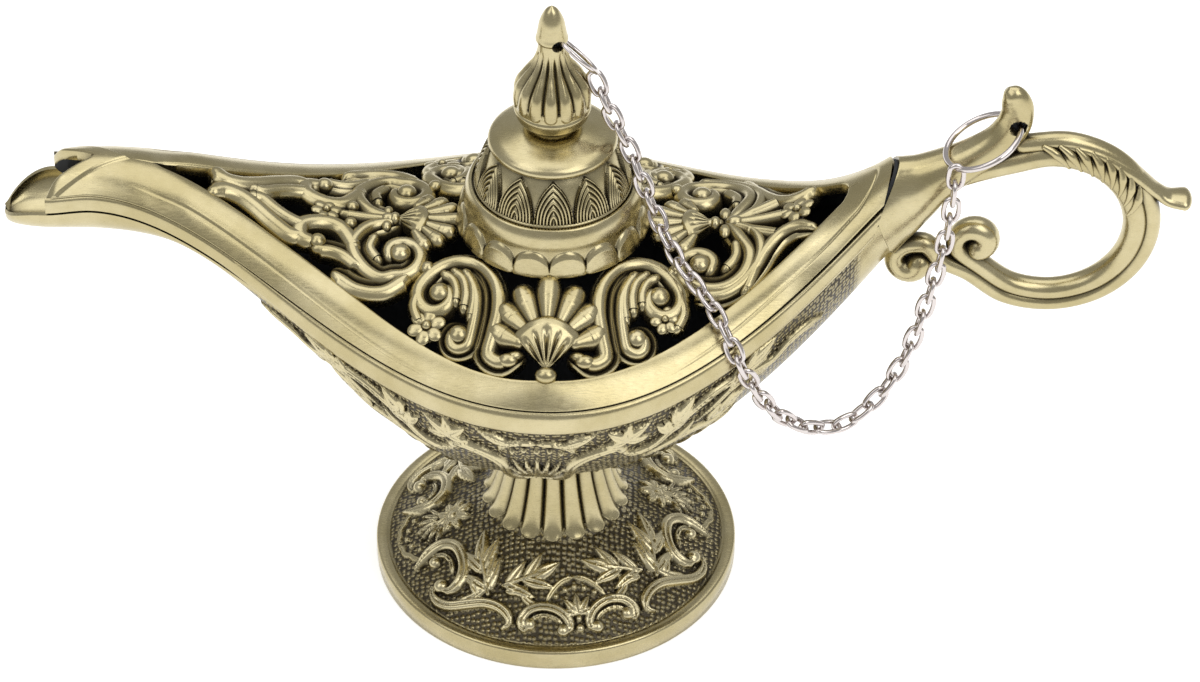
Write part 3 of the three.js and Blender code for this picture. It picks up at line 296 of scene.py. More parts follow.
def ball(shape, centre, radii, axes):
    """An egg-shaped body with its three radii along the rows of axes."""
    turn = np.radians(np.linspace(-86, 86, 13))[:, None]
    angle = full_turn(20)
    sphere = [np.cos(turn) * np.cos(angle), np.cos(turn) * np.sin(angle), np.sin(turn) + 0 * angle]
    egg = np.stack(sphere, -1) * np.array(radii, float)
    shape.grid(centre + egg @ axes, around=True, caps=True)


def bore(shape, x, z, radius):
    """Presses a hole along Y into both sides of a shape, near-black inside as painted shade."""
    inside = []
    for points in shape.points:
        away = np.hypot(points[:, 0] - x, points[:, 2] - z)
        depth = 1 - smooth(away, 0.88 * radius, radius)
        points[:, 1] *= 1 - 0.8 * depth
        inside.append(depth > 0.5)
    inside = np.concatenate(inside)
    shape.dark_faces.update(i for i, face in enumerate(shape.faces) if inside[face].all())


def turned(radius, z, columns):
    """Points of a turned surface from grids of radius and z with a row for each ring."""
    angle = full_turn(columns)
    return np.stack([radius * np.cos(angle), radius * np.sin(angle), z + 0 * angle], -1)


def lathe(shape, line, columns, caps=True):
    """Turns a plain line of [radius, z] points round the Z axis."""
    shape.grid(turned(line[:, :1], line[:, 1:], columns), around=True, caps=caps)


def profile_line(corners, spacing):
    """Closely spaced points along straight stretches between corners, as two columns."""
    corners = np.array(corners, float)
    rows = []
    for a, b in zip(corners, corners[1:]):
        count = max(1, math.ceil(np.linalg.norm(b - a) / spacing))
        rows.append(a + (b - a) * np.linspace(0, 1, count, endpoint=False)[:, None])
    return np.vstack([*rows, corners[-1:]])


def relief(points, strokes):
    """Height of the tallest stroke over each point. A stroke is (line, half widths, rise, groove)."""
    height = np.zeros(len(points))
    for line, half_width, rise, groove in strokes:
        half_width = np.broadcast_to(np.asarray(half_width, float), len(line))
        widest = half_width.max()
        inside = (points > line.min(0) - widest) & (points < line.max(0) + widest)
        near = np.flatnonzero(inside.all(1))
        p = points[near]
        nearest = np.full(len(near), 9.0)
        reach = np.zeros(len(near))
        for a, b, width_a, width_b in zip(line, line[1:], half_width, half_width[1:]):
            along = b - a
            t = np.clip((p - a) @ along / max(along @ along, 1e-9), 0, 1)
            width = np.maximum(width_a + t * (width_b - width_a), 1e-3)
            away = np.linalg.norm(p - a - t[:, None] * along, axis=1) / width
            reach = np.where(away < nearest, width, reach)
            nearest = np.minimum(nearest, away)
        lift = np.clip(1 - nearest**2, 0, 1) ** 0.6 - groove * np.exp(-((nearest / 0.22) ** 2))
        height[near] = np.maximum(height[near], rise * (reach / widest) ** 0.5 * lift)
    return height


# The boat form, as functions of x
def spout_share(x):
    return np.clip(-x / SPOUT_REACH, 0, 1)


def tail_share(x):
    return np.clip(x / TAIL_REACH, 0, 1)


def rim_half_width(x):
    """Half width at the outer edge of the cover's band."""
    bell = (1 + np.cos(np.pi * spout_share(x))) / 2
    arch = np.maximum(np.cos(np.pi / 2 * tail_share(x)), 0)
    to_spout = SPOUT_HALF_WIDTH + (HALF_BEAM - SPOUT_HALF_WIDTH) * bell**1.25
    return np.where(x < 0, to_spout, TAIL_HALF_WIDTH + (HALF_BEAM - TAIL_HALF_WIDTH) * arch**1.3)


def rim_z(x):
    """Height of that edge: low amidships, high at both ends."""
    t = spout_share(x)
    rise = np.sin(np.pi / 2 * np.minimum(t / 0.9, 1) ** 1.7) ** 1.5 - 0.05 * smooth(t, 0.9, 1)
    return RIM_Z + np.where(x < 0, SPOUT_RISE * rise, TAIL_RISE * tail_share(x) ** 2.7)


def crown(x):
    """Rise of the cover's dome at the middle of the section."""
    to_spout = SPOUT_CROWN + (CROWN - SPOUT_CROWN) * (1 - spout_share(x)) ** 2
    return np.where(x < 0, to_spout, TAIL_CROWN + (CROWN - TAIL_CROWN) * (1 - tail_share(x)) ** 1.2)


def dome_z(x, y):
    return rim_z(x) + crown(x) * (1 - (y / rim_half_width(x)) ** 2)


def dome_normal(points):
    """Upward normal of the cover's dome."""
    x, y = points[..., 0], points[..., 1]
    step = 0.4
    slope_x = (dome_z(x + step, y) - dome_z(x - step, y)) / (2 * step)
    slope_y = (dome_z(x, y + step) - dome_z(x, y - step)) / (2 * step)
    return unit(np.stack([-slope_x, -slope_y, np.ones_like(x)], -1))


def over_dome(plan, lift):
    """Points over the dome at [x, y] places of the plan."""
    plan = np.asarray(plan, float)
    z = dome_z(plan[..., 0], plan[..., 1]) + lift
    return np.concatenate([plan, z[..., None]], -1)


def opening_half_width(x):
    """Half width of the pierced opening: pointed at the spout, rounded off at the handle end."""
    to_spout = BAND_WIDTH + (SPOUT_BAND_WIDTH - BAND_WIDTH) * smooth(spout_share(x), 0.05, 0.5)
    to_tail = BAND_WIDTH + (TAIL_BAND_WIDTH - BAND_WIDTH) * smooth(tail_share(x), 0, 0.8)
    half = np.maximum(rim_half_width(x) - np.where(x < 0, to_spout, to_tail), 0)
    corner = 1.4
    past = np.clip((x - OPENING_END + corner) / corner, 0, 1)
    return half * np.sqrt(1 - past**2)


def seam(x):
    """Half width and height of the seam between cover and bowl, and of the lip beyond the cover."""
    half = rim_half_width(x) + SEAM_PROUD
    z = rim_z(x) - BEAD_HEIGHT
    t = np.clip((-x - SPOUT_REACH) / (LIP_REACH - SPOUT_REACH), 0, 1)
    return half * np.sqrt(1 - 0.999 * t**1.8), z + (LIP_Z - z) * t**2


def keel_z(x):
    """Lowest line of the bowl."""
    to_spout = (SPOUT_KEEL_Z - BOWL_BOTTOM_Z) * smooth(-x / LIP_REACH, 0.12, 0.7)
    return BOWL_BOTTOM_Z + np.where(x < 0, to_spout, (TAIL_KEEL_Z - BOWL_BOTTOM_Z) * tail_share(x) ** 2.2)


# Materials
class Nodes:
    """Adds and links the nodes of one material."""

    def __init__(self, name):
        self.material = bpy.data.materials.new(name)
        self.material.use_nodes = True
        self.tree = self.material.node_tree
        self.surface = self.tree.nodes["Principled BSDF"]

    def add(self, kind, settings=None, **inputs):
        """A node with its settings, and with its inputs set or linked by name."""
        node = self.tree.nodes.new("ShaderNode" + kind)
        for key, value in (settings or {}).items():
            setattr(node, key, value)
        for key, value in inputs.items():
            self.set(node, key.replace("_", " "), value)
        return node

    def set(self, node, key, value):
        socket = node.inputs[int(key)] if key.isdigit() else node.inputs[key]
        if isinstance(value, bpy.types.NodeSocket):
            self.tree.links.new(value, socket)
        else:
            socket.default_value = value

    def math(self, operation, a, b=0.0, clamp=False):
        node = self.add("Math", {"operation": operation, "use_clamp": clamp})
        self.set(node, "0", a)
        self.set(node, "1", b)
        return node.outputs[0]

    def ramp(self, value, low, high, to_low=0.0, to_high=1.0):
        """Eases value from low to high into to_low to to_high."""
        node = self.add("MapRange", {"interpolation_type": "SMOOTHSTEP"}, Value=value)
        for key, number in zip(("From Min", "From Max", "To Min", "To Max"), (low, high, to_low, to_high)):
            node.inputs[key].default_value = number
        return node.outputs["Result"]

    def mix(self, share, a, b):
        """Colour a where share is 0 and b where it is 1."""
        node = self.add("Mix", {"data_type": "RGBA"})
        self.set(node, "0", share)
        self.set(node, "6", a)
        self.set(node, "7", b)
        return node.outputs[2]


def brass_material():
    """Antique brass, brushed, dark in hollows and on its pebbled ground from patina and painted shade, and
    with polish on the relief, whose lighter colour is partly a painted highlight.
    """
    n = Nodes("antique brass")
    place = n.add("TexCoord").outputs["Object"]
    mark = n.add("Attribute", {"attribute_name": "ground"}).outputs["Fac"]
    ground = n.math("MAXIMUM", mark, 0.0)
    raised = n.math("MULTIPLY", mark, -1.0, clamp=True)

    grain = n.add("Attribute", {"attribute_name": "grain"}).outputs["Vector"]
    cells = n.add("TexVoronoi", {"voronoi_dimensions": "2D"}, Vector=grain, Scale=1.05, Randomness=0.5)
    away = cells.outputs["Distance"]
    # Patina and painted shade: the colour darkens where ambient occlusion finds hollows and in the gaps
    # between pebbles
    hollow = n.add("AmbientOcclusion", {"samples": 8, "only_local": True}, Distance=3.4 * MM).outputs["AO"]
    open_share = n.ramp(hollow, 0.38, 0.96)
    between = n.math("MULTIPLY", ground, n.ramp(away, 0.3, 0.47))
    free_of_patina_and_shade = n.math("MULTIPLY", open_share, n.math("SUBTRACT", 1.0, n.math("MULTIPLY", between, 0.94)))

    streaks = n.add("Mapping", Vector=place, Scale=(500.0, 4200.0, 4200.0)).outputs["Vector"]
    brushed = n.add("TexNoise", Vector=streaks, Scale=1.0, Detail=3.0, Roughness=0.6).outputs["Fac"]
    clouds = n.add("TexNoise", Vector=place, Scale=70.0, Detail=5.0, Roughness=0.65).outputs["Fac"]
    worn = n.mix(n.ramp(clouds, 0.3, 0.75), (0.44, 0.375, 0.2, 1), (0.57, 0.5, 0.305, 1))
    # Polish and painted highlight: the raised relief takes a lighter colour
    polished_and_highlit = n.mix(n.math("MULTIPLY", raised, 0.6), worn, (0.74, 0.66, 0.43, 1))
    # The pebbled ground is darker: patina and painted shade in the recessed ground
    shaded = n.mix(n.math("MULTIPLY", ground, 0.4), polished_and_highlit, (0.2, 0.165, 0.095, 1))
    # Near-black brown of patina and painted shade fills the hollows and pebble gaps
    colour = n.mix(free_of_patina_and_shade, (0.035, 0.026, 0.013, 1), shaded)

    bumps = n.math("MULTIPLY", ground, n.ramp(away, 0.56, 0.0))
    fine = n.add("Bump", Strength=0.14, Distance=0.014 * MM, Height=brushed)
    cast = n.add("Bump", Strength=1.0, Distance=0.24 * MM, Height=bumps, Normal=fine.outputs["Normal"])
    rough = n.math("ADD", n.ramp(brushed, 0.25, 0.75, 0.19, 0.31), n.math("MULTIPLY", ground, 0.05))
    n.set(n.surface, "Base Color", colour)
    n.set(n.surface, "Metallic", n.ramp(free_of_patina_and_shade, 0.0, 0.5, 0.5, 1.0))
    n.set(n.surface, "Roughness", rough)
    n.set(n.surface, "Normal", cast.outputs["Normal"])
    return n.material


def nickel_material():
    """Bright nickel plate with faint wear."""
    n = Nodes("bright nickel")
    place = n.add("TexCoord").outputs["Object"]
    wear = n.add("TexNoise", Vector=place, Scale=700.0, Detail=3.0).outputs["Fac"]
    n.set(n.surface, "Base Color", (0.63, 0.58, 0.56, 1))
    n.set(n.surface, "Metallic", 1.0)
    n.set(n.surface, "Roughness", n.ramp(wear, 0.3, 0.7, 0.1, 0.2))
    return n.material


def plain_material(name, colour, roughness, metallic=0.0):
    """One colour with a slight mottle."""
    n = Nodes(name)
    place = n.add("TexCoord").outputs["Object"]
    mottle = n.add("TexNoise", Vector=place, Scale=400.0, Detail=4.0).outputs["Fac"]
    lighter = tuple(min(1.3 * c, 1) for c in colour)
    n.set(n.surface, "Base Color", n.mix(mottle, (*colour, 1), (*lighter, 1)))
    n.set(n.surface, "Roughness", roughness)
    n.set(n.surface, "Metallic", metallic)
    return n.material


def paper_material():
    """A white sweep that shows white to the camera and in reflections, and keeps its shadows."""
    n = Nodes("white paper")
    path = n.add("LightPath")
    seen = n.math("MAXIMUM", path.outputs["Is Camera Ray"], path.outputs["Is Glossy Ray"])
    seen = n.math("MAXIMUM", seen, path.outputs["Is Transmission Ray"])
    n.set(n.surface, "Base Color", (0.88, 0.88, 0.88, 1))
    n.set(n.surface, "Roughness", 0.9)
    n.set(n.surface, "Specular IOR Level", 0.0)
    n.set(n.surface, "Emission Color", (1, 1, 1, 1))
    n.set(n.surface, "Emission Strength", n.math("MULTIPLY", seen, 0.55))
    return n.material


BRASS = brass_material()
NICKEL = nickel_material()
# Near-black: the bowl's dark inside, and painted shade in holes, the handle's slot and under the band
NEAR_BLACK_AND_PAINTED_SHADE = plain_material("near-black and painted shade", (0.012, 0.0135, 0.016), 0.7)
FELT = plain_material("felt", (0.02, 0.019, 0.018), 0.95)
STEEL = plain_material("steel", (0.5, 0.5, 0.52), 0.4, 1.0)


# Foot and stem
FLOWER_AXIS = 78.5  # degrees from the front flower's axis back to the X axis
FIELD_EDGE_Z = FOOT_RIM_HEIGHT - 0.4
FIELD_EDGE_RADIUS = FIELD_RADIUS - 0.6
STEM_SKIRT_RADIUS = STEM_BASE_RADIUS + FLUTE_DEPTH - 0.4


def field_z(radius):
    """Height of the foot's ornamented field."""
    share = (FIELD_EDGE_RADIUS - radius) / (FIELD_EDGE_RADIUS - STEM_BASE_RADIUS - FLUTE_DEPTH)
    return FIELD_EDGE_Z + (STEM_BASE_Z - FLUTE_DEPTH - FIELD_EDGE_Z) * share


# Ornament of a quarter of the foot: [degrees from the front axis, radius] lines, half width and rise
FOOT_SCROLLS = [
    ([(13.2, 23.6), (11, 21.8), (6.2, 20.1), (0, 19.4)], 0.62, 0.6),
    (
        [(18.8, 27.4), (20.9, 28.4), (22.4, 27), (20.4, 25.2), (15.3, 24.3), (8.8, 24.7), (4.5, 26.2),
         (3.7, 28), (6, 28.7)],
        1.05, 1.1,
    ),
    ([(19.5, 26.9), (15.3, 25.8), (9.6, 26.1), (6.2, 27.3)], 0.5, 0.7),
    ([(24.2, 21.2), (22.8, 23.2), (17.5, 24.4)], 0.9, 0.9),
    (
        [(74, 28), (75.9, 25.6), (76, 22.6), (70.4, 20.8), (61.6, 21.1), (55.4, 22.9), (53.7, 25.1),
         (55.1, 26.8), (59.1, 27.3)],
        1.35, 1.3,
    ),
    ([(73.2, 24.6), (69.7, 23.1), (63.8, 23), (59.4, 24.2)], 0.65, 0.9),
    (
        [(62, 28), (59.7, 28.8), (56.3, 29.2), (51.5, 28.8), (45.4, 27.1), (38.9, 25.7), (32.7, 25.6),
         (27.9, 26.6), (26.6, 27.9), (28.6, 28.9)],
        1.15, 1.15,
    ),
    ([(49, 27.8), (44, 25.4), (41.5, 23.6), (38, 22.2)], 1.0, 1.0),
    ([(76, 26.4), (79, 27.4), (81.5, 27.8), (84, 28.6), (87, 28.7), (90, 29.2)], 0.6, 0.55),
]
# Leaves: root, tip and half width
FOOT_LEAVES = [
    ((39, 24.2), (65, 15.4), 1.6), ((34, 22.2), (6, 16.8), 1.5),
    ((42, 22.2), (47.5, 17), 1.05), ((43, 25), (53, 22.6), 1.0), ((31, 22.8), (21.5, 21.8), 1.0),
    ((0, 25.4), (0, 22), 0.95), ((1, 25.4), (6, 22.8), 0.9), ((1.4, 25.6), (7, 25), 0.75),
    ((90, 21.8), (90, 25.8), 0.55), ((88.4, 21.8), (85.4, 25.4), 0.55), ((86.8, 21.6), (81.4, 24.6), 0.55),
    ((85.6, 21.2), (78.6, 23.2), 0.55),
]
# Beads: degrees, radius and size
FOOT_BEADS = [
    (0, 21.1, 0.6), (4.6, 21.5, 0.6), (9, 22.5, 0.6), (0, 26.4, 0.7), (0, 28, 0.85), (90, 27.5, 0.6),
    (85.5, 27, 0.6), (81.2, 25.9, 0.6), (90, 18.9, 1.1), (19, 27.4, 1.25), (6.4, 28.2, 1.25),
    (59.6, 26.9, 1.5), (70.5, 25, 1.2),
]
FLOWER_CENTRE = (90, 18.9)


def on_field(places):
    """Points on the foot's field at [degrees, radius] places."""
    places = np.asarray(places, float)
    angle = np.radians(places[:, 0])
    radius = places[:, 1]
    return np.stack([radius * np.cos(angle), radius * np.sin(angle), field_z(radius)], 1)


def tapered(count, half_width, ends=0.35):
    """Half widths that swell from a share of the full one at both ends."""
    t = np.linspace(0, 1, count)
    return half_width * np.minimum(1, ends + 4 * np.minimum(t, 1 - t))


def leaf_widths(count, half_width):
    """Half widths of a pointed leaf, broadest near its root."""
    t = np.linspace(0, 1, count)
    return half_width * np.sin(np.pi * (0.12 + 0.88 * t) ** 0.75) + 0.08


BROAD_LEAF = 1.3  # half width from which a leaf has leaflets
LEAF_ROWS = 8
# Leaflets of a broad leaf, in shares of its length and width: root and tip along it, side reach, half width
LEAFLETS = [(0.46, 1, 0, 1), (0.06, 0.42, 0.3, 0.85), (0.34, 0.74, 0.29, 0.85)]


def lobed_leaf(root, tip, half_width, scale):
    """Lines of a leaf, with leaflets on a rib if it is broad. A unit of place is scale millimetres."""
    scale = np.array(scale, float)
    root, tip = np.array(root, float) * scale, np.array(tip, float) * scale
    along = tip - root
    side = np.array([-along[1], along[0]])
    if half_width < BROAD_LEAF:
        return [(np.stack([root, tip]) / scale, leaf_widths(LEAF_ROWS, half_width))]
    parts = [(np.stack([root, root + 0.7 * along]) / scale, np.full(LEAF_ROWS, 0.35 * half_width))]
    for start, end, reach, share in LEAFLETS:
        for way in (-1, 1):
            line = np.stack([root + start * along, root + end * along + way * reach * side])
            parts.append((line / scale, leaf_widths(LEAF_ROWS, share * half_width)))
    return parts


def ornament_lines(scrolls, leaves, count, leaf_rise, scale):
    """Scrolls and leaves of an ornament as (line, half widths, rise, count of points, groove)."""
    lines = [(np.array(line), tapered(count, width), rise, count, 0.35) for line, width, rise in scrolls]
    for leaf in leaves:
        lines += [(line, widths, leaf_rise, LEAF_ROWS, 0.3) for line, widths in lobed_leaf(*leaf, scale)]
    return lines


def foot_strokes():
    """The quarter's ornament, mirrored and turned to all four quarters."""
    lines = ornament_lines(FOOT_SCROLLS, FOOT_LEAVES, 24, 1.2, (0.37, 1))
    for degrees, radius, size in FOOT_BEADS:
        ends = np.array([(degrees, radius - 0.05), (degrees, radius + 0.05)])
        lines.append((ends, np.full(2, size), 0.9 * size, 2, 0))
    strokes = []
    for line, widths, rise, count, groove in lines:
        for turn, side in ((0, 1), (0, -1), (180, 1), (180, -1)):
            places = line * [side, 1] + [turn - FLOWER_AXIS, 0]
            strokes.append((curve(on_field(places), count), widths, rise, groove))
    for turn in (0, 180):
        centre = on_field([(FLOWER_CENTRE[0] + turn - FLOWER_AXIS, FLOWER_CENTRE[1])])[0]
        for k in range(8):
            angle = math.radians(45 * k + 20)
            away = np.array([math.cos(angle), math.sin(angle), 0])
            petal = centre + away * np.linspace(1.1, 3.7, 6)[:, None]
            petal[:, 2] = field_z(np.hypot(petal[:, 0], petal[:, 1]))
            strokes.append((petal, leaf_widths(6, 1.0), 0.9, 0.3))
    return strokes


def flute_shape(angle, count):
    """Place across each of `count` ribs, from -1 to 1."""
    return 2 * ((angle * count / (2 * math.pi)) % 1) - 1


def make_foot():
    shape = Shape()
    columns = 900
    angle = full_turn(columns)
    rim = profile_line(
        [
            (FIELD_EDGE_RADIUS, FIELD_EDGE_Z), (FIELD_RADIUS - 0.15, FOOT_RIM_HEIGHT - 0.15),
            (FIELD_RADIUS + 0.15, FOOT_RIM_HEIGHT), (FOOT_RADIUS - 0.5, FOOT_RIM_HEIGHT),
            (FOOT_RADIUS - 0.15, FOOT_RIM_HEIGHT - 0.15), (FOOT_RADIUS, FOOT_RIM_HEIGHT - 0.55),
            (FOOT_RADIUS, 0.25), (FOOT_RADIUS - 0.25, 0), (PAD_RADIUS + FIT, 0),
            (PAD_RADIUS + FIT, PAD_SEAT_Z), (1, PAD_SEAT_Z),
        ],
        4,
    )[::-1]
    lathe(shape, rim, 240)

    field_radius = np.linspace(FIELD_EDGE_RADIUS, STEM_SKIRT_RADIUS, 110)[:, None]
    field = turned(field_radius, field_z(field_radius), columns)
    height = relief(field.reshape(-1, 3), foot_strokes()).reshape(field.shape[:2])
    slope = math.atan2(field_z(20) - field_z(21), 1)
    level = np.stack([np.cos(angle), np.sin(angle), 0 * angle], -1)
    outward = level * math.sin(slope) + np.array([0, 0, math.cos(slope)])
    edge = smooth(field_radius, FIELD_EDGE_RADIUS, FIELD_EDGE_RADIUS - 0.3)
    ground = (1 - smooth(height, 0.04, 0.22)) * edge - smooth(height, 0.3, 0.7)
    flat = np.array([1, 1, 0])
    shape.grid(field + outward * height[..., None], around=True, ground=ground, grain=field * flat)

    # The stem's round ribs end in tongues over the field
    corners = [
        (STEM_SKIRT_RADIUS, field_z(STEM_SKIRT_RADIUS)), (STEM_BASE_RADIUS - 0.1, STEM_BASE_Z - 0.2),
        (STEM_BASE_RADIUS - 1, STEM_BASE_Z + 1), (10.5, STEM_BASE_Z + 4.6),
        (STEM_WAIST_RADIUS, 24.8), (9.2, 29), (STEM_TOP_RADIUS, STEM_TOP_Z),
    ]
    line = curve(corners, 80)
    across = flute_shape(angle, STEM_FLUTES)
    tongue = 1.5 * (1 - np.sqrt(1 - np.minimum(np.abs(across), 0.98) ** 2))
    on_rib = smooth(line[:, 1:] - STEM_BASE_Z + 0.75 - tongue, 0, 0.4)
    rib = (1 - np.abs(across) ** 2.8) * FLUTE_DEPTH * 1.25
    stem = turned(line[:, :1] + on_rib * (rib - 0.65), line[:, 1:], columns)
    shape.grid(stem, around=True, ground=1 - on_rib, grain=stem * flat)
    piece("foot_cast", shape, "lamp", ["foot"], [BRASS])


# Bowl, with raised leafwork on a pebbled ground
def on_bowl(x, turn, out=0.0):
    """Points on the bowl's outside. turn is in degrees down from the seam at the front, 180 at the back."""
    half, z = seam(x)
    angle = np.radians(turn)
    depth = z - keel_z(x)
    return np.stack([x + 0 * angle, -(half + out) * np.cos(angle), z - (depth + out) * np.sin(angle)], -1)


# Ornament of the bowl's front, mirrored to both sides of its middle: [x from the middle, degrees] lines
BOWL_MIDDLE = -1.5
BOWL_SCROLLS = [
    ([(0, 8.2), (2, 7.8), (4, 8.6), (5.6, 10.4), (6.6, 13.5)], 0.65, 0.8),
    ([(14.6, 17.5), (13.8, 15), (11.4, 14.6), (8.8, 16.4), (6.4, 21), (5, 32), (2.5, 40), (0, 42)], 1.2, 1.3),
    ([(14.4, 19), (17, 22.5), (20, 22), (23, 17), (26.6, 12), (30.6, 9.6), (35, 11), (39, 15)], 1.0, 1.2),
    (
        [(27, 22), (30.5, 18.4), (33.5, 15), (37, 16.4), (40.5, 21), (43, 18.4), (45.4, 20), (48.5, 28)],
        0.95, 1.1,
    ),
    ([(18, 30), (21.5, 27), (26, 27.6), (30, 33), (34, 31)], 1.0, 1.1),
]
BOWL_LEAVES = [
    ((5.2, 8.8), (10.6, 4.6), 1.0), ((15.4, 11.5), (19.6, 6.6), 1.15), ((15.4, 11.5), (16, 3.6), 1.15),
    ((15.4, 11.5), (12.2, 5.2), 1.15), ((15.4, 11.8), (11.6, 12.4), 1.05), ((15.6, 12), (19.2, 14.6), 1.05),
    ((22.4, 18), (27, 4.4), 1.45), ((33, 13), (41, 5.6), 1.4), ((29, 27), (36.5, 22), 1.4),
    ((22.6, 17), (20.4, 9.6), 1.0), ((37, 17), (40, 25), 1.1), ((24, 27), (27, 20), 1.1),
    ((0, 34), (0, 17), 0.75), ((0.6, 34), (2.2, 17.4), 0.7), ((1.2, 34), (4.2, 19.6), 0.7),
    ((1.8, 34), (5, 24), 0.7),
]
BOWL_BEADS = [(0, 12.4, 0.5), (2.2, 12.2, 0.5), (4.2, 13.4, 0.5), (14.6, 18, 1.0), (15.4, 10.6, 0.9)]
KEEL_LEAVES = 11
KEEL_LEAF_STEP = 3.4
# The pebbled ground begins and ends over these stretches of x
GROUND_START = (-56, -50)
GROUND_END = (52, 54)
PLAIN_STRIP = 1.6  # below the seam
DARK_FROM = -77  # inside the spout, the brass turns near-black from here on
LIP_WALL = 0.9
BOWL_END_X = TAIL_REACH + COVER_GAP - FIT


def bowl_strokes():
    """Leafwork on both sides of the bowl, and a row of leaves that rises from the stem."""
    lines = ornament_lines(BOWL_SCROLLS, BOWL_LEAVES, 28, 1.15, (1, 0.53))
    for x, degrees, size in BOWL_BEADS:
        lines.append((np.array([(x, degrees), (x + 0.1, degrees)]), np.full(2, size), 0.7, 2, 0))
    for k in range(KEEL_LEAVES):
        x = KEEL_LEAF_STEP * k
        ends = np.array([(0.8 * x, 80 - 0.4 * x), (x, 48 - 0.3 * x)])
        lines.append((ends, leaf_widths(10, 1.5), 1.0, 10, 0.3))
    strokes = []
    for line, widths, rise, count, groove in lines:
        for side in (1, -1):
            fine = curve(line, count)
            front = on_bowl(BOWL_MIDDLE + side * fine[:, 0], fine[:, 1])
            strokes.append((front, widths, rise, groove))
            strokes.append((front * [1, -1, 1], widths, rise, groove))
    return strokes


def bowl_hollow():
    """The bowl's inside, as places along X and a row of points at each, with a thin wall at the lip."""
    cut_end = TAIL_REACH - COVER_END_WALL
    tip_wall = LIP_WALL - LIP_REACH
    x = np.r_[tip_wall, np.linspace(tip_wall + 0.01, cut_end, 150), cut_end + 0.01, BOWL_END_X][:, None]
    half, z = seam(x)
    wall = LIP_WALL + (BOWL_WALL - LIP_WALL) * smooth(x, -84, -72)
    depth = np.maximum(z - keel_z(x) - wall, 0.4) * (x <= cut_end) * (x > tip_wall)
    angle = np.radians(np.linspace(0, 180, 61))[None]
    span = np.maximum(half - wall, 0.5)
    return x, np.stack([x + 0 * angle, -span * np.cos(angle), z - depth * np.sin(angle)], -1)


def make_bowl():
    shape = Shape()
    tip_end = 1.5 - LIP_REACH
    x = np.r_[np.linspace(-LIP_REACH, tip_end, 30)[:-1], np.linspace(tip_end, BOWL_END_X, 660)][:, None]
    turn = np.linspace(0, 180, 361)[None]
    outside = on_bowl(x, turn)
    beyond = on_bowl(x, turn, 1.0)
    height = relief(outside.reshape(-1, 3), bowl_strokes()).reshape(outside.shape[:2])
    half, z = seam(x)
    below = (z - outside[..., 2]) + (np.abs(outside[..., 1]) < half * 0.9) * PLAIN_STRIP
    field = smooth(x, *GROUND_START) * (1 - smooth(x, *GROUND_END)) * smooth(below, 0.5, PLAIN_STRIP)
    ground = field * (1 - smooth(height, 0.04, 0.22) - 0.6 * smooth(height, 0.3, 0.7))
    outside = outside + (beyond - outside) * (height * smooth(below, 0, PLAIN_STRIP))[..., None]
    down_side = reach_along(outside)
    along_side = reach_along(on_bowl(x[:, 0], 15))[:, None]
    grain = np.stack([along_side + 0 * turn, down_side, 0 * down_side], -1)
    shape.grid(outside, ground=ground, grain=grain)

    # The hollow, the lip's front edge, the edges along the seam and the end at the handle
    hollow_x, inside = bowl_hollow()
    shape.grid(np.stack([inside[0], inside[0] * [0, 0, 1] + [-LIP_REACH, 0, 0]]))
    shape.grid(inside, dark=hollow_x[:-1] > DARK_FROM)
    for column in (0, -1):
        edge = np.stack([np.interp(x[:, 0], hollow_x[:, 0], inside[:, column, k]) for k in range(3)], 1)
        shape.grid(np.stack([outside[:, column], edge], 1))
    shape.grid(outside[-1][None].repeat(2, 0) * np.array([[[1, 1, 1]], [[1, 0.02, 1]]]))
    piece("bowl_cast", shape, "lamp", ["bowl"], [BRASS, NEAR_BLACK_AND_PAINTED_SHADE])


# Cover rim: band, groove and bead, with a raised border round the spout's notch
BORDER_APEX_X = NOTCH_X + 5.6
BORDER_SWEEP = 1.82  # the border's edge runs this far to the spout for each millimetre sideways
CREASE_START = 52.8
CREASE_LENGTH = 3.2
END_SLANT = 0.36  # the handle end of the cover leans back by this much for each millimetre down
BEAD_FOOT = 3.28  # depth of the bead's inner foot below the band's edge
# Rows down the band's side: [outward from its edge, down from it]
BAND_SIDE = [
    (0.12, 0.1), (0.12, 0.22), (-0.14, 0.34), (-0.18, 0.46), (0.1, 0.56), (0.5, 0.7), (0.8, 1.05), (1, 1.7),
    (1.12, 2.6), (1.14, 3.4), (1.08, 4.1), (0.96, 4.6), (0.8, 4.85), (0.6, 4.9), (0.45, 4.7),
    (0.42, BEAD_FOOT), (-3.3, BEAD_FOOT), (-3.3, 1.2),
]
HIDDEN_ROWS = 3  # the last of these lie under the band, near-black as painted shade


def notch_half_width(x):
    """Half width of the V notch over the spout, rounded off at its outer corners."""
    share = np.clip((NOTCH_X - x) / (NOTCH_X + SPOUT_REACH), 0, 1)
    return rim_half_width(x) * (0.76 * share + 0.24 * share**7)


def cover_edge(x):
    """Half width of the cover's inner edge: the notch, the opening, or none."""
    return np.where(x < NOTCH_X, notch_half_width(x), opening_half_width(x))


def border_rise(x, y):
    """Height of the raised border beside the notch, which is broadest at the ridge."""
    edge_x = BORDER_APEX_X - BORDER_SWEEP * np.abs(y)
    beside = (x - edge_x) / math.hypot(1, BORDER_SWEEP)
    return 0.5 * (1 - smooth(beside, -0.15, 0.25))


def edge_crease(x, y):
    """Depth of the fine crease that follows the band's outer edge and crosses the handle end."""
    half = rim_half_width(x) - 0.9 - 1.6 * smooth(np.abs(x), 12, 50)
    along = np.maximum(x - CREASE_START, 0) / CREASE_LENGTH
    across = y / half
    scale = (CREASE_LENGTH * along + half * across) / np.maximum(along + across, 1e-6)
    away = (np.hypot(along, across) - 1) * scale
    return 0.2 * np.exp(-((away / 0.26) ** 2)) * smooth(x, -74, -66) * smooth(np.abs(x), 14, 34)


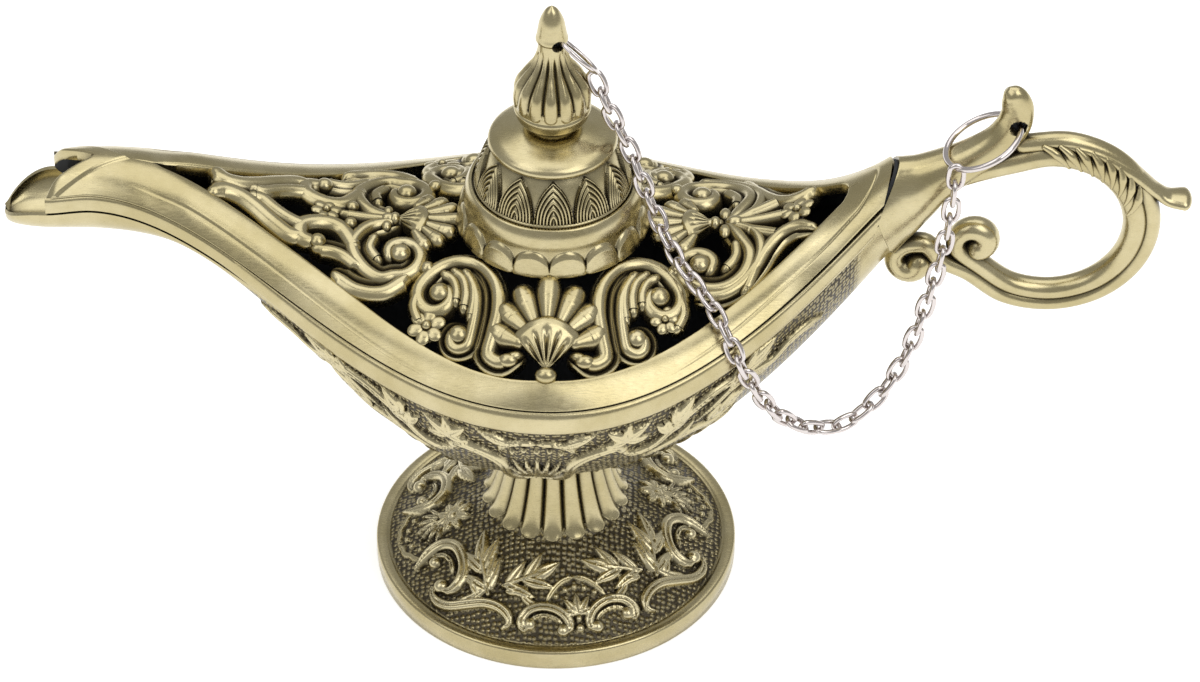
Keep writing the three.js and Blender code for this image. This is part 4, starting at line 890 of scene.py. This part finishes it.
def leant(x, below):
    """Place along the cover of a point this far below the ridge, which leans back at the handle end."""
    return x - END_SLANT * below * smooth(x, TAIL_REACH - 12, TAIL_REACH)


def tip_drop(x):
    """How far the roof bends down at its tip over the spout."""
    return 1.8 * smooth(-x, 84.5, 88.5) ** 2


def band_top(x, across):
    """Points over the band, from its inner edge at across 0 to its outer one at 1."""
    top_x = leant(x, TAIL_CROWN * across**2)
    outer = rim_half_width(top_x)
    edge = np.minimum(cover_edge(top_x), outer - 0.3)
    y = edge + (outer - edge) * across
    border = border_rise(x, y) * (1 - smooth(across, 0.985, 1))
    rounding = 0.35 * np.exp(-(y - edge) / 0.22) * smooth(edge, 0.0, 0.6)
    swell = (0.15 + 0.4 * smooth(np.abs(x), 10, 40)) * smooth(edge, 0, 2) * smooth(x, -78, -70)
    bulge = swell * (1 - smooth(x, 38, 49)) * 4 * across * (1 - across)
    z = dome_z(top_x, y) + border - edge_crease(x, y) - rounding - tip_drop(x) + bulge
    return np.stack([top_x, y, z], -1)


def band_side(x):
    """Points down the band's side, over groove and bead, and under the band."""
    out, down = np.array(BAND_SIDE).T[:, None]
    # The bead shrinks towards the spout, where a gap shows between it and the bowl
    at_spout = smooth(-x, 36, 60)
    out = np.where(out > -1, out * (1 - 0.6 * at_spout), out)
    down = np.where(down > BEAD_FOOT, BEAD_FOOT + (down - BEAD_FOOT) * (1 - at_spout), down)
    down = down * (1 - 0.055 * at_spout)
    # The groove opens towards the handle
    open_groove = smooth(x, 30, 50)
    out = np.where((down < 0.6) & (out < 0), out - 0.5 * open_groove, out)
    down = down + 0.3 * open_groove * smooth(down, 0.4, 0.6) * (1 - smooth(down, 0.7, 1.7))
    side_x = leant(x, TAIL_CROWN + down)
    y = rim_half_width(side_x) + out
    y[:, -2:] = np.maximum(y[:, -2:], cover_edge(side_x[:, -2:]) + 0.05)
    z = rim_z(side_x) - down
    z[:, -1:] -= tip_drop(x)
    return np.stack([side_x, y, z], -1)


def make_cover_rim():
    shape = Shape()
    stretches = ((-SPOUT_REACH + 0.3, -70, 110), (-69.6, 49.4, 250), (49.5, TAIL_REACH, 70))
    x = np.concatenate([np.linspace(*stretch) for stretch in stretches])[:, None]
    top = band_top(x, np.linspace(0, 1, 56)[None])
    rows = np.concatenate([top, band_side(x), top[:, :1] - [0, 0, 1.9]], 1)
    hidden = np.zeros(rows.shape[1], bool)
    hidden[-1 - HIDDEN_ROWS : -1] = True
    for mirror in (1, -1):
        shape.grid(rows * [1, mirror, 1], around=True, caps=True, dark=hidden)
    piece("cover_band", shape, "cover", ["cover_rim"], [BRASS, NEAR_BLACK_AND_PAINTED_SHADE], crease=38)


# Scrollwork of the cover, in plan lines on the dome
CAST_FULLNESS = 1.2
SCROLL_POINTS = 70


def scroll(shape, line, width, side=0):
    """A cast scroll on the dome, with a thin second rib on one side where side is 1 or -1."""
    half = tapered(SCROLL_POINTS, CAST_FULLNESS * width * SCROLL_WIDTH / 2, 0.75)
    half_height = np.minimum(1.9, 0.7 + 0.8 * half)
    points = over_dome(curve(line, SCROLL_POINTS), 0.5 - half_height)
    section = RIBBED * [side, 1] if side else ROUND
    bar(shape, points, half, half_height, dome_normal(points), section)


def knob(shape, place, radii, facing, lift):
    """A small egg on the dome, its first radius towards `facing` degrees."""
    centre = over_dome(np.array(place, float), -GRILLE_DROP + lift)
    up = dome_normal(centre)
    along = np.array([math.cos(math.radians(facing)), math.sin(math.radians(facing)), 0])
    along = unit(along - up * (along @ up))
    ball(shape, centre, radii, np.stack([along, np.cross(up, along), up]))


def flower(shape, place, radius):
    """A six-petalled flower round a bead."""
    for facing in range(15, 375, 60):
        angle = math.radians(facing)
        petal = (place[0] + 0.6 * radius * math.cos(angle), place[1] + 0.6 * radius * math.sin(angle))
        knob(shape, petal, (0.48 * radius, 0.4 * radius, 0.55), facing, 0.7)
    knob(shape, place, (0.28 * radius, 0.28 * radius, 0.8), 0, 1.0)
    knob(shape, place, (0.75 * radius, 0.75 * radius, 1.1), 0, -0.5)


# Petals of a shell on one side of its middle: [along, across] of root and tip
SHELL_PETALS = [((2, 2.1), (7.6, 4.3)), ((1.2, 3.8), (4.9, 7)), ((-0.8, 4.9), (1.6, 8.4))]


def shell(shape, place, size, facing):
    """A scallop shell: teardrop petals fanned round a grooved cup that ends in a square knob."""
    turn = math.radians(facing)

    def at(along, across):
        along, across = size * along, size * across
        return (
            place[0] + along * math.cos(turn) - across * math.sin(turn),
            place[1] + along * math.sin(turn) + across * math.cos(turn),
        )

    petals = [((2.2, 0), (8.8, 0))]
    petals += [((a, side * b), (c, side * d)) for (a, b), (c, d) in SHELL_PETALS for side in (-1, 1)]
    for root, tip in petals:
        half = size * np.interp(np.linspace(0, 1, 26), [0, 0.3, 0.6, 0.85, 1], [1.3, 1.75, 2.2, 2.35, 2.2])
        points = over_dome(curve([at(*root), at(*tip)], 26), 0.35 - 0.8 * half)
        bar(shape, points, half, 0.5 + 0.8 * half, dome_normal(points))
    knob(shape, at(1.6, 0), (4 * size, 6 * size, 1.2), facing, -0.6)
    shell_cup(shape, at, size)
    knob(shape, at(-6, 0), (1.6 * size, 2 * size, 1.6), facing, 0.4)


CUP_TURN = math.radians(47)  # to each side of the shell's middle
CUP_REACH = 8.3


def shell_cup(shape, at, size):
    """The shell's cup: a sector that swells to a plain upper edge, with grooves that meet at its foot."""
    turn = CUP_TURN * np.r_[-1, np.linspace(-1, 1, 49), 1][None]
    reach = np.r_[np.linspace(0.06, 1, 28), 1][:, None]
    share = turn / CUP_TURN
    swell = np.interp(reach, [0, 0.5, 0.82, 0.95, 1], [0.3, 0.85, 1, 0.8, 0.45]) * (1.02 - share**2) ** 0.4
    groove = (0.5 - 0.5 * np.cos(5 * np.pi * (share + 1))) ** 3 * (1 - smooth(reach, 0.55, 0.8))
    height = size * (2 * swell - 0.55 * groove * smooth(reach, 0.1, 0.3)) - 0.2
    edge = np.zeros_like(height)
    edge[-1] = edge[:, 0] = edge[:, -1] = 1
    plan = at(-5.8 + CUP_REACH * reach * np.cos(turn), CUP_REACH * reach * np.sin(turn))
    points = over_dome(np.stack(plan, -1), 0)
    shape.grid(points + dome_normal(points) * np.where(edge, -1.8, height)[..., None])


# Each scroll is (line, width, side of its second rib), and each knob (place, radii, facing, lift)
FRONT_SCROLLS = [
    (
        [(-5.2, -28.5), (-8, -29.3), (-10.5, -27.6), (-9.9, -24.2), (-9.1, -20), (-9.6, -15.6),
         (-12.3, -11.8), (-15.8, -10.6), (-19.2, -11.8), *spiral((-19.2, -16.6), 3, 1.6, 145, 380)],
        1.5, -1,
    ),
    (
        [(-13.6, -13), (-12.1, -16.4), (-11.9, -19.9), (-12.4, -23.4),
         *spiral((-15.2, -24.3), 2.6, 1.3, 322, 80)],
        1.25, -1,
    ),
    ([(-18.4, -12.6), (-16.8, -13.8), (-15.9, -16), (-16, -18.4)], 0.8, 0),
    ([(-16.6, -12.2), (-14.9, -14), (-14.2, -16.6), (-14.5, -19.8)], 0.85, 0),
    ([(-14.6, -12.6), (-13.2, -15), (-12.8, -18), (-13.3, -21.6)], 0.8, 0),
    ([(-22.3, -15.6), (-23.2, -18.6), (-22, -21.6)], 0.8, 0),
]
FRONT_KNOBS = [
    ((18.9, -16.5), (2, 2, 1.7), 0, 0.4), ((15.3, -24.2), (1.9, 1.9, 1.6), 0, 0.4),
    ((21.3, -11.4), (1.4, 1.4, 1.3), 0, 0.4), ((19, -16.6), (3.4, 3.4, 0.7), 0, -0.9),
    ((15.2, -24.3), (2.5, 2.5, 0.7), 0, -0.9), ((6.6, -29.1), (1.9, 1.4, 1.35), 0, 0.5),
]
SPOUT_SCROLLS = [
    (
        [(-28, -0.9), (-32, -2.7), (-34.2, -6.9), (-32.5, -10.5), (-29.4, -12.6),
         *spiral((-26.3, -8.4), 3.8, 1.6, 255, 540)],
        1.45, -1,
    ),
    ([(-31, -4.6), (-31.6, -7.4), (-30, -9.8)], 0.8, 0),
    ([(-36.6, -13.4), (-33.4, -15.1), (-29, -15.3), (-25.6, -13)], 1.6, -1),
    (
        [(-41.4, -7.8), (-43.8, -7), (-43.8, -4.6), (-41.6, -3), (-39, -2.6), (-36.9, -3.4), (-35.4, -5.4),
         (-34.3, -7.6)],
        1.2, 0,
    ),
    ([(-40.6, -8.6), (-38.4, -8.4), (-36, -9), (-33.4, -10.8)], 1.35, -1),
    (
        [(-59, -2.6), (-57.6, -1.4), (-55, -1.5), (-52, -3), (-48.7, -5.4), (-45.4, -7.2), (-43.8, -6.8)],
        1.3, 0,
    ),
    ([(-52.6, -1), (-51, -1), (-48.6, -2.6), (-46.1, -3.9), (-43.5, -4.6)], 1.1, 0),
]
SPOUT_KNOBS = [
    ((-26.2, 8.4), (1.95, 1.95, 1.7), 0, 0.5), ((-40.6, 7.8), (1.6, 1.6, 1.5), 0, 0.5),
    ((-35.3, 2.3), (1.25, 1.25, 1.2), 0, 0.5), ((-29, 2), (1.3, 0.95, 1.0), 90, 0.6),
]
HANDLE_SCROLLS = [
    (
        [(30.6, -0.8), (32.3, -4), (33.9, -7.4), (33.2, -10.6), (30.5, -12.9), (27.2, -13.4),
         *spiral((25.8, -9.7), 3.3, 1.6, 235, -20)],
        1.4, 1,
    ),
    ([(31, -0.6), (35, -3.2), (36, -7.2), (34.9, -10.6), (33.4, -14.2)], 1.2, 1),
    ([(32, -5), (32, -8), (30.2, -10.4)], 0.8, 0),
    (
        [(26.4, -15.8), (30, -15.4), (33.2, -13.6), (36.1, -10.3), (38, -7.2), (40, -5), (42.6, -4.1),
         (45, -5)],
        1.35, 1,
    ),
    ([(34, -2), (37, -3.2), (39.6, -4.4)], 0.9, 0),
]
HANDLE_KNOBS = [((25.8, 9.6), (1.95, 1.95, 1.6), 0, 0.5), ((30, 2.3), (1.7, 1.1, 1.0), 90, 0.7)]


def both_sides(shape, scrolls, knobs, mirror):
    """Scrolls and knobs of a panel, each with its mirror image."""
    for line, width, side in scrolls:
        scroll(shape, line, width, side)
        scroll(shape, np.array(line) * mirror, width, -side)
    for way in (mirror, (1, 1)):
        for place, radii, facing, lift in knobs:
            knob(shape, np.array(place) * way, radii, facing, lift)


def front_panel(shape):
    both_sides(shape, FRONT_SCROLLS, FRONT_KNOBS, (-1, 1))
    flower(shape, (-20.9, -22.6), 3.2)
    flower(shape, (20, -20.6), 2.5)
    shell(shape, (0, -25.6), 1, 90)


def spout_panel(shape):
    both_sides(shape, SPOUT_SCROLLS, SPOUT_KNOBS, (1, -1))
    scroll(shape, [(-25, 0), (-31, 0), (-37, 0)], 0.8)
    knob(shape, (-28.8, 0), (1.5, 1.1, 1.1), 0, 0.7)
    flower(shape, (-39.6, 0), 2.6)
    shell(shape, (-23.4, 0), 0.72, 0)


def handle_panel(shape):
    both_sides(shape, HANDLE_SCROLLS, HANDLE_KNOBS, (1, -1))
    knob(shape, (28, 0), (1.9, 1.0, 1.0), 0, 0.7)
    knob(shape, (31.6, 0), (1.6, 1.3, 1.1), 0, 0.8)
    scroll(shape, [(32, 0), (37, 0), (41, 0)], 0.8)
    flower(shape, (42.4, 0), 2.9)
    shell(shape, (24, 0), 0.72, 180)


def make_grille():
    """The four panels. The back one is the front one, mirrored."""
    panels = {"front": front_panel, "back": front_panel, "spout": spout_panel, "handle": handle_panel}
    for name, fill in panels.items():
        shape = Shape()
        fill(shape)
        if name == "back":
            shape.points = [points * [1, -1, 1] for points in shape.points]
        piece(f"scrollwork_{name}", shape, "cover", [f"grille_{name}"], [BRASS])


# Neck ring, cap and finial
def make_neck_ring():
    shape = Shape()
    columns = 640
    # [out from the ring's radius, up from its bottom]
    outline = curve(
        [
            (-0.5, 0), (0.2, 0.3), (0.25, 0.9), (0.1, 2), (-0.1, 3.6), (-0.2, 5), (-0.2, 6.2), (-0.45, 7.6),
            (-0.9, NECK_HEIGHT - 0.4), (-1.2, NECK_HEIGHT - 0.02), (-1.6, NECK_HEIGHT),
        ],
        110,
    ) + [NECK_RADIUS, NECK_BOTTOM_Z]
    across = np.abs(flute_shape(full_turn(columns), NECK_PETALS))
    level = (outline[:, 1:] - NECK_BOTTOM_Z) / 5
    arch = 0.42 + 0.58 * np.sqrt(1 - np.minimum(across, 0.999) ** 2)
    boss = np.clip((arch - level) / 0.22, 0, 1) ** 0.5 * (1 - 0.2 * across**10)
    radius = outline[:, :1] + boss * (0.75 + 0.15 * smooth(arch - level, 0.2, 0.8)) - 0.15
    shape.grid(turned(radius, outline[:, 1:], columns), around=True)
    inside = profile_line(
        [
            (NECK_RADIUS - 1.75, NECK_TOP_Z), (CAP_RADIUS + FIT, NECK_TOP_Z - 0.3),
            (CAP_RADIUS + FIT, CAP_FOOT_Z - FIT), (NECK_BORE, CAP_FOOT_Z - FIT),
            (NECK_BORE, NECK_BOTTOM_Z), (NECK_RADIUS - 1.45, NECK_BOTTOM_Z),
        ],
        3,
    )
    lathe(shape, inside, 160, caps=False)
    piece("neck_cast", shape, "cover", ["neck_ring"], [BRASS], crease=60)


def make_cap():
    shape = Shape()
    columns = 960
    foot = CAP_FOOT_Z
    collar = curve(
        [
            (CAP_RADIUS - 0.25, foot + 0.4), (13.2, foot + 2.6), (12.5, foot + 5.2), (11.5, foot + 7.6),
            (10.5, CAP_FLANGE_Z - 0.6),
        ],
        150,
    )
    # Nested ribs in pointed arches round the collar, with an arch's middle near the front
    angle = full_turn(columns) + math.pi / 2 + math.pi / CAP_ARCHES - 0.05
    across = np.abs(flute_shape(angle, CAP_ARCHES)) / 0.97
    height = 2 * ARCH_ROUND - 1
    tall = np.clip((collar[:, 1:] - foot - 1.2) / 7.5, 0, None) ** 1.35
    inset = across * (ARCH_ROUND - 1)
    scale = (inset + np.sqrt(inset**2 + height * (across**2 + height * tall**2))) / height
    ribs = np.where(scale < 1, np.abs(np.cos(math.pi * 6 * scale)) ** 0.8, -0.3)
    radius = collar[:, :1] + 0.45 * ribs - 0.2
    shape.grid(turned(radius, collar[:, 1:], columns), around=True)
    flange = curve(
        [
            (10.1, CAP_FLANGE_Z - 0.75), (10.9, CAP_FLANGE_Z - 0.5), (CAP_FLANGE_RADIUS, CAP_FLANGE_Z + 0.15),
            (CAP_FLANGE_RADIUS - 0.25, CAP_FLANGE_Z + 0.9), (CAP_FLANGE_RADIUS - 1.3, CAP_FLANGE_Z + 1.6),
            (7.6, CAP_FLANGE_Z + 2.4), (FINIAL_FOOT_RADIUS + 0.4, CAP_TOP_Z), (2.2, CAP_TOP_Z),
        ],
        60,
    )
    lathe(shape, flange, 200)
    base = profile_line(
        [
            (9, foot + 6), (10.4, foot), (10.4, foot - 4.5), (NECK_BORE - FIT, foot - 4.5),
            (NECK_BORE - FIT, foot), (CAP_RADIUS - 0.2, foot), (CAP_RADIUS, foot + 0.2),
            (CAP_RADIUS, foot + 1.1), (CAP_RADIUS - 0.2, foot + 1.4), (CAP_RADIUS - 0.7, foot + 1.45),
        ],
        3,
    )
    lathe(shape, base, 200)
    piece("cap_cast", shape, "cap", ["cap"], [BRASS], crease=60)


def up_finial(places, count):
    """A smooth line through [radius, share of the finial's height] places."""
    return curve(np.array(places) * [1, FINIAL_HEIGHT] + [0, FINIAL_FOOT_Z], count)


def make_finial():
    shape = Shape()
    columns = 560
    bulb = up_finial(
        [
            (3.4, 0), (3.6, 0.02), (4.7, 0.03), (5.9, 0.065), (6.55, 0.125), (6.75, 0.2),
            (FINIAL_RADIUS, 0.27), (6.4, 0.35), (5.2, 0.43), (3.9, 0.5), (3, 0.57), (2.55, 0.64),
            (2.35, 0.74),
        ],
        180,
    )
    angle = full_turn(columns) + math.pi / 2 + math.pi / FINIAL_FLUTES
    across = np.abs(flute_shape(angle, FINIAL_FLUTES))
    tongue = 0.1 * (1 - np.sqrt(1 - np.minimum(across, 0.98) ** 2))
    share = (bulb[:, 1:] - FINIAL_FOOT_Z) / FINIAL_HEIGHT
    on_flute = smooth(share - 0.17 - tongue, 0, 0.02) * (1 - smooth(share, 0.54, 0.68))
    groove = across ** np.interp(share, [0.2, 0.5], [3.2, 1.4])
    groove = groove * bulb[:, :1] * np.interp(share, [0.2, 0.35, 0.5], [0.09, 0.15, 0.22])
    lip = 0.3 * smooth(share, 0.15, 0.175) * (1 - on_flute) * (share < 0.4)
    shape.grid(turned(bulb[:, :1] - on_flute * groove - lip, bulb[:, 1:], columns), around=True, caps=True)
    tip = up_finial(
        [
            (1.7, 0.705), (2.55, 0.71), (FINIAL_TIP_RADIUS + 0.2, 0.73), (FINIAL_TIP_RADIUS, 0.77),
            (2.4, 0.82), (2.1, 0.88), (1.6, 0.93), (1.0, 0.97), (0.1, 1),
        ],
        90,
    )
    lathe(shape, tip, columns)
    # The ring's hole is a pressed dent, near-black inside as painted shade
    bore(shape, *FINIAL_HOLE, FINIAL_HOLE_RADIUS)
    piece("finial_cast", shape, "cap", ["finial"], [BRASS, NEAR_BLACK_AND_PAINTED_SHADE], crease=60)


# Handle
def by_loop(u, w):
    """A place in the handle's plane, in loop radii from the loop's centre."""
    return (LOOP_X + u * LOOP_INNER_RADIUS, LOOP_Z + w * LOOP_INNER_RADIUS)


def loop_arc(radius, start, end):
    return spiral((LOOP_X, LOOP_Z), radius, radius, start, end)


def in_handle_plane(line, count):
    """A smooth line of points from [x, z] places in the handle's plane."""
    flat = curve(line, count)
    return np.stack([flat[:, 0], np.zeros(count), flat[:, 1]], 1)


ACROSS_HANDLE = np.array([0.0, 1.0, 0.0])
LEAF_STROKES = 8  # down each side of the leaf
TUBE_POINTS = 170


def handle_root(shape):
    """The horn that grows out of the bowl's end into the tab with the ring's hole."""
    start = TAIL_REACH + COVER_GAP + 0.6
    half = (TAIL_RIM_Z + TAIL_CROWN - TAIL_KEEL_Z) / 2
    middle = TAIL_KEEL_Z + half
    hole_x, hole_z = TAB_HOLE
    count = 150
    # [x, z, tilt in degrees, half width, half height] of each section
    sections = curve(
        [
            (start, middle, 0, TAIL_HALF_WIDTH + SEAM_PROUD, half),
            (start + 2.7, middle + 2.6, 14, 5.3, 0.77 * half),
            (*by_loop(-1.34, 0.62), 30, 4.3, 4.7), (*by_loop(-1.01, 0.85), 36, 3.6, 3.6),
            (*by_loop(-0.7, 1.08), 46, 3, 3.3), (hole_x - 0.9, hole_z - 0.6, 74, 2.1, 3.1),
            (hole_x - 0.3, hole_z + 2.6, 92, 1.9, 2.8), (hole_x - 0.8, hole_z + 4.8, 112, 1.8, 2.5),
            (hole_x - 1.7, hole_z + 6.2, 132, 1.5, 1.8), (hole_x - 2.4, hole_z + 6.8, 140, 0.6, 0.8),
        ],
        count,
    )
    tilt = np.radians(sections[:, 2])
    rise = np.stack([-np.sin(tilt), 0 * tilt, np.cos(tilt)], 1)
    middle_line = np.stack([sections[:, 0], 0 * tilt, sections[:, 1]], 1)
    ring = circle_section(72)
    wide = ring[None, :, :1] * ACROSS_HANDLE * sections[:, 3, None, None]
    high = ring[None, :, 1:] * rise[:, None] * sections[:, 4, None, None]
    points = middle_line[:, None] + wide + high
    # Its first rows follow the slant of the cover's end
    below = TAIL_RIM_Z + TAIL_CROWN - points[..., 2]
    bead_bottom = TAIL_CROWN + BEAD_HEIGHT + 1.3
    leaning = np.interp(below, [0, bead_bottom, 2 * half], [0, bead_bottom, 0])
    lean = 1.15 * END_SLANT * leaning * (1 - smooth(np.arange(count), 0, 30))[:, None]
    points[..., 0] -= lean
    points[..., 1] *= np.where(lean > 0, rim_half_width(start - lean) / TAIL_HALF_WIDTH, 1)
    shape.grid(points, around=True, caps=True)
    # A near-black plug in the slot between cover and handle: painted shade in the slot
    middle_of_slot = points[0].mean(0)
    plug = middle_of_slot + 0.94 * (points[0] - middle_of_slot)
    shape.grid(np.stack([plug - [0.75, 0, 0], plug + [0.5, 0, 0]]), around=True, caps=True, dark=True)
    # The ring's hole is a pressed dent, near-black inside as painted shade
    bore(shape, *TAB_HOLE, TAB_HOLE_RADIUS)


def handle_leaf(shape):
    """An acanthus leaf along the loop's back, with strokes down its sides and a flared tip."""
    count = 70
    spine = [(-0.35, 1.15), (0.13, 1.15), (0.53, 1.03), (0.93, 0.745), (1.2, 0.5), (1.36, 0.39), (1.54, 0.37)]
    line = in_handle_plane([by_loop(*place) for place in spine], count)
    t = np.linspace(0, 1, count)
    half_width = np.interp(t, [0, 0.3, 0.6, 0.85, 1], [1.2, 2.2, 2.3, 1.9, 3])
    half_height = np.interp(t, [0, 0.3, 0.65, 0.8, 0.92, 1], [1.0, 1.25, 1.3, 1.1, 1.2, 1.3])
    bar(shape, line, half_height, half_width, ACROSS_HANDLE, circle_section(20))
    for side in (-1, 1):
        for k in range(LEAF_STROKES):
            angle = 96 - 9.2 * k
            stroke = []
            for share in np.linspace(0, 1, 5):
                turn = math.radians(angle - 17 * share**0.8)
                reach = 17.6 - 3.9 * share
                out = side * (1.4 + 1.0 * math.sin(math.pi * (0.12 + 0.6 * share)))
                stroke.append((LOOP_X + reach * math.cos(turn), out, LOOP_Z + reach * math.sin(turn)))
            widths = np.interp(np.linspace(0, 1, 16), [0, 0.4, 1], [0.5, 0.85, 0.3])
            bar(shape, curve(stroke, 16), widths, widths, np.array([0.0, side, 0.0]))


def make_handle():
    shape = Shape()
    handle_root(shape)
    inner = in_handle_plane(
        [
            by_loop(-1.325, 0.56), by_loop(-0.9, 0.74), *loop_arc(LOOP_INNER_RADIUS, 118, -140),
            *spiral(by_loop(-0.834, -0.305), 3.4, 1.5, 200, -60),
        ],
        TUBE_POINTS,
    )
    t = np.linspace(0, 1, TUBE_POINTS)
    swell = INNER_TUBE_RADIUS * (1.1 - 0.22 * smooth(t, 0.35, 0.7)) * (1 + 0.3 * smooth(t, 0.9, 0.99))
    bar(shape, inner, swell, swell * 1.15, ACROSS_HANDLE, circle_section(24))
    outer = in_handle_plane(
        [
            *loop_arc(LOOP_OUTER_RADIUS, 108, -140), by_loop(-1.219, -0.583), by_loop(-1.404, -0.371),
            *spiral(by_loop(-1.563, -0.609), 3.9, 1.4, 75, 330),
        ],
        TUBE_POINTS,
    )
    swell = OUTER_TUBE_RADIUS * (1.05 + 0.1 * smooth(t, 0.75, 0.9)) * (1 + 0.35 * smooth(t, 0.93, 0.99))
    bar(shape, outer, swell, swell * 1.1, ACROSS_HANDLE, circle_section(24))
    handle_leaf(shape)
    piece("handle_cast", shape, "lamp", ["handle"], [BRASS, NEAR_BLACK_AND_PAINTED_SHADE])


# Rings and chain
def wire_loop(shape, points, normal, wire, sides=10):
    """A closed loop of round wire through points in a plane."""
    outward = unit(np.cross(np.roll(points, -1, 0) - np.roll(points, 1, 0), normal))
    ring = circle_section(sides)
    rows = points[:, None] + wire * (ring[None, :, :1] * outward[:, None] + ring[None, :, 1:] * normal)
    shape.grid(np.concatenate([rows, rows[:1]]), around=True)


FINIAL_HOOK = np.array([FINIAL_HOLE[0] - FIT, 0, FINIAL_HOLE[1] + FIT])
HANDLE_HOOK = np.array([TAB_HOLE[0], 0, TAB_HOLE[1]])
# Each ring's hook, the way it falls, the way its wire runs through the hole, radius, wire and body
RINGS = {
    "finial_ring": (FINIAL_HOOK, (1, 0, -1), (-0.3, 1, -0.3), FINIAL_RING_RADIUS, FINIAL_RING_WIRE, "cap"),
    "handle_ring": (
        HANDLE_HOOK, (-12.4, -4.2, -5.9), (0, 1, 0), HANDLE_RING_RADIUS, HANDLE_RING_WIRE, "lamp",
    ),
}

# The chain's line, in metres, from the finial's ring over the cover's edge to the handle's ring
CHAIN_ROUTE = [
    (0.00774, -0.00026, 0.10704), (0.0103, -0.0018, 0.1014), (0.0134, -0.0032, 0.095),
    (0.0154, -0.005, 0.0902), (0.018, -0.0066, 0.0838), (0.02, -0.0094, 0.0804),
    (0.023, -0.014, 0.078), (0.0274, -0.0194, 0.0752),
    (0.0304, -0.0234, 0.072), (0.033, -0.0254, 0.0666), (0.0356, -0.0244, 0.0604), (0.0386, -0.023, 0.0546),
    (0.0426, -0.021, 0.0496), (0.047, -0.0188, 0.0466), (0.0514, -0.0168, 0.046), (0.0554, -0.0148, 0.048),
    (0.059, -0.013, 0.0518), (0.062, -0.0116, 0.0576), (0.0644, -0.0104, 0.065), (0.0664, -0.0094, 0.0734),
    (0.068, -0.0086, 0.082), (0.0688, -0.008, 0.0894), (0.0691, -0.0076, 0.0942),
]
LINKS_ON_CAP = 11  # links from the finial down to where the chain lies over the cover
PATH_STEP = 12  # every so many points of the chain's fine line go into each piece's path


def link_outline():
    """An oval link's line in its own plane."""
    half = LINK_LENGTH / 2 - LINK_WIRE
    turn = LINK_WIDTH / 2 - LINK_WIRE
    angle = full_turn(40)[0]
    straight = (half - turn) * np.sign(np.cos(angle)) * np.minimum(1, 1.6 * np.abs(np.cos(angle)))
    return np.stack([straight + turn * np.cos(angle), turn * np.sin(angle)], 1)


def make_chain():
    """The chain's links in two pieces, which meet where the chain lies on the cover."""
    fine = curve(np.array(CHAIN_ROUTE) / MM, 4000)
    along = unit(np.gradient(fine, axis=0))
    count = round(reach_along(fine)[-1] / LINK_PITCH) + 1
    places = np.linspace(0, len(fine) - 1, count).round().astype(int)
    outline = link_outline()
    parts = {"chain_top": range(LINKS_ON_CAP), "chain_main": range(LINKS_ON_CAP, count)}
    made = {}
    for name, numbers in parts.items():
        shape = Shape()
        for i in numbers:
            middle, ahead = fine[places[i]], along[places[i]]
            sideways = unit(np.array([0, 1, 0]) - ahead * ahead[1])
            flat = sideways if i % 2 else np.cross(sideways, ahead)
            points = middle + outline[:, :1] * ahead + outline[:, 1:] * flat
            wire_loop(shape, points, np.cross(ahead, flat), LINK_WIRE)
        nodes = [f"chain_link_{i + 1:02d}" for i in numbers]
        obj = piece(name, shape, None, nodes, [NICKEL])
        first, last = places[numbers[0]], places[numbers[-1]]
        made[name] = (obj, fine[first : last + 1 : PATH_STEP] * MM)
    top, top_path = made["chain_top"]
    main, main_path = made["chain_main"]
    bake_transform(top)
    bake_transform(main)
    for obj, path in made.values():
        cord_length = float(reach_along(path)[-1])


def make_rings():
    angle = full_turn(96).T
    for name, (hook, fall, way, radius, wire, body) in RINGS.items():
        down = unit(fall)
        along = unit(np.array(way) - down * (down @ np.array(way)))
        points = hook + radius * (down + np.cos(angle) * down + np.sin(angle) * along)
        shape = Shape()
        wire_loop(shape, points, np.cross(down, along), wire, 12)
        piece(f"{name}_wire", shape, body, [name], [NICKEL])


# Stage: floor, lights, world and camera
LIGHT_TARGET = (0, 0, 0.06)


def aimed(name, data, place, target):
    """A light or camera at a place, turned to a target."""
    obj = bpy.data.objects.new(name, data)
    obj.location = place
    obj.rotation_euler = (Vector(target) - Vector(place)).to_track_quat("-Z", "Y").to_euler()
    bpy.context.scene.collection.objects.link(obj)
    return obj


def area_light(name, place, size, power):
    """A white panel that lights the lamp."""
    data = bpy.data.lights.new(name, "AREA")
    data.shape = "RECTANGLE"
    data.size, data.size_y = size
    data.energy = power
    aimed(name, data, place, LIGHT_TARGET)


def make_stage():
    scene = bpy.context.scene
    bpy.ops.mesh.primitive_plane_add(size=6, location=(0, 0, 0))
    floor = bpy.context.object
    floor.name = "floor"
    floor.data.materials.append(paper_material())

    area_light("softbox left", (-0.53, -0.36, 0.9), (0.6, 0.8), 1.8)
    area_light("softbox right", (0.46, -0.44, 0.9), (0.6, 0.8), 3.0)
    area_light("overhead panel", (0, 0.32, 1.12), (1.4, 0.9), 4.7)

    world = bpy.data.worlds.new("studio")
    scene.world = world
    world.use_nodes = True
    light = world.node_tree.nodes["Background"]
    light.inputs["Color"].default_value = (1, 1, 1, 1)
    light.inputs["Strength"].default_value = 0.45

    data = bpy.data.cameras.new("camera")
    data.sensor_fit = "HORIZONTAL"
    data.sensor_width = 36
    data.lens = CAMERA_LENS
    data.clip_start = 0.01
    scene.camera = aimed("camera", data, CAMERA_PLACE, CAMERA_TARGET)
    scene.view_settings.view_transform = "Standard"


make_stage()
make_chain()
make_rings()
make_foot()
make_bowl()
make_cover_rim()
make_grille()
make_neck_ring()
make_cap()
make_finial()
make_handle()
for node, material in (("base_pad", FELT), ("stem_screw", STEEL)):
    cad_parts[node].data.materials.clear()
    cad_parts[node].data.materials.append(material)
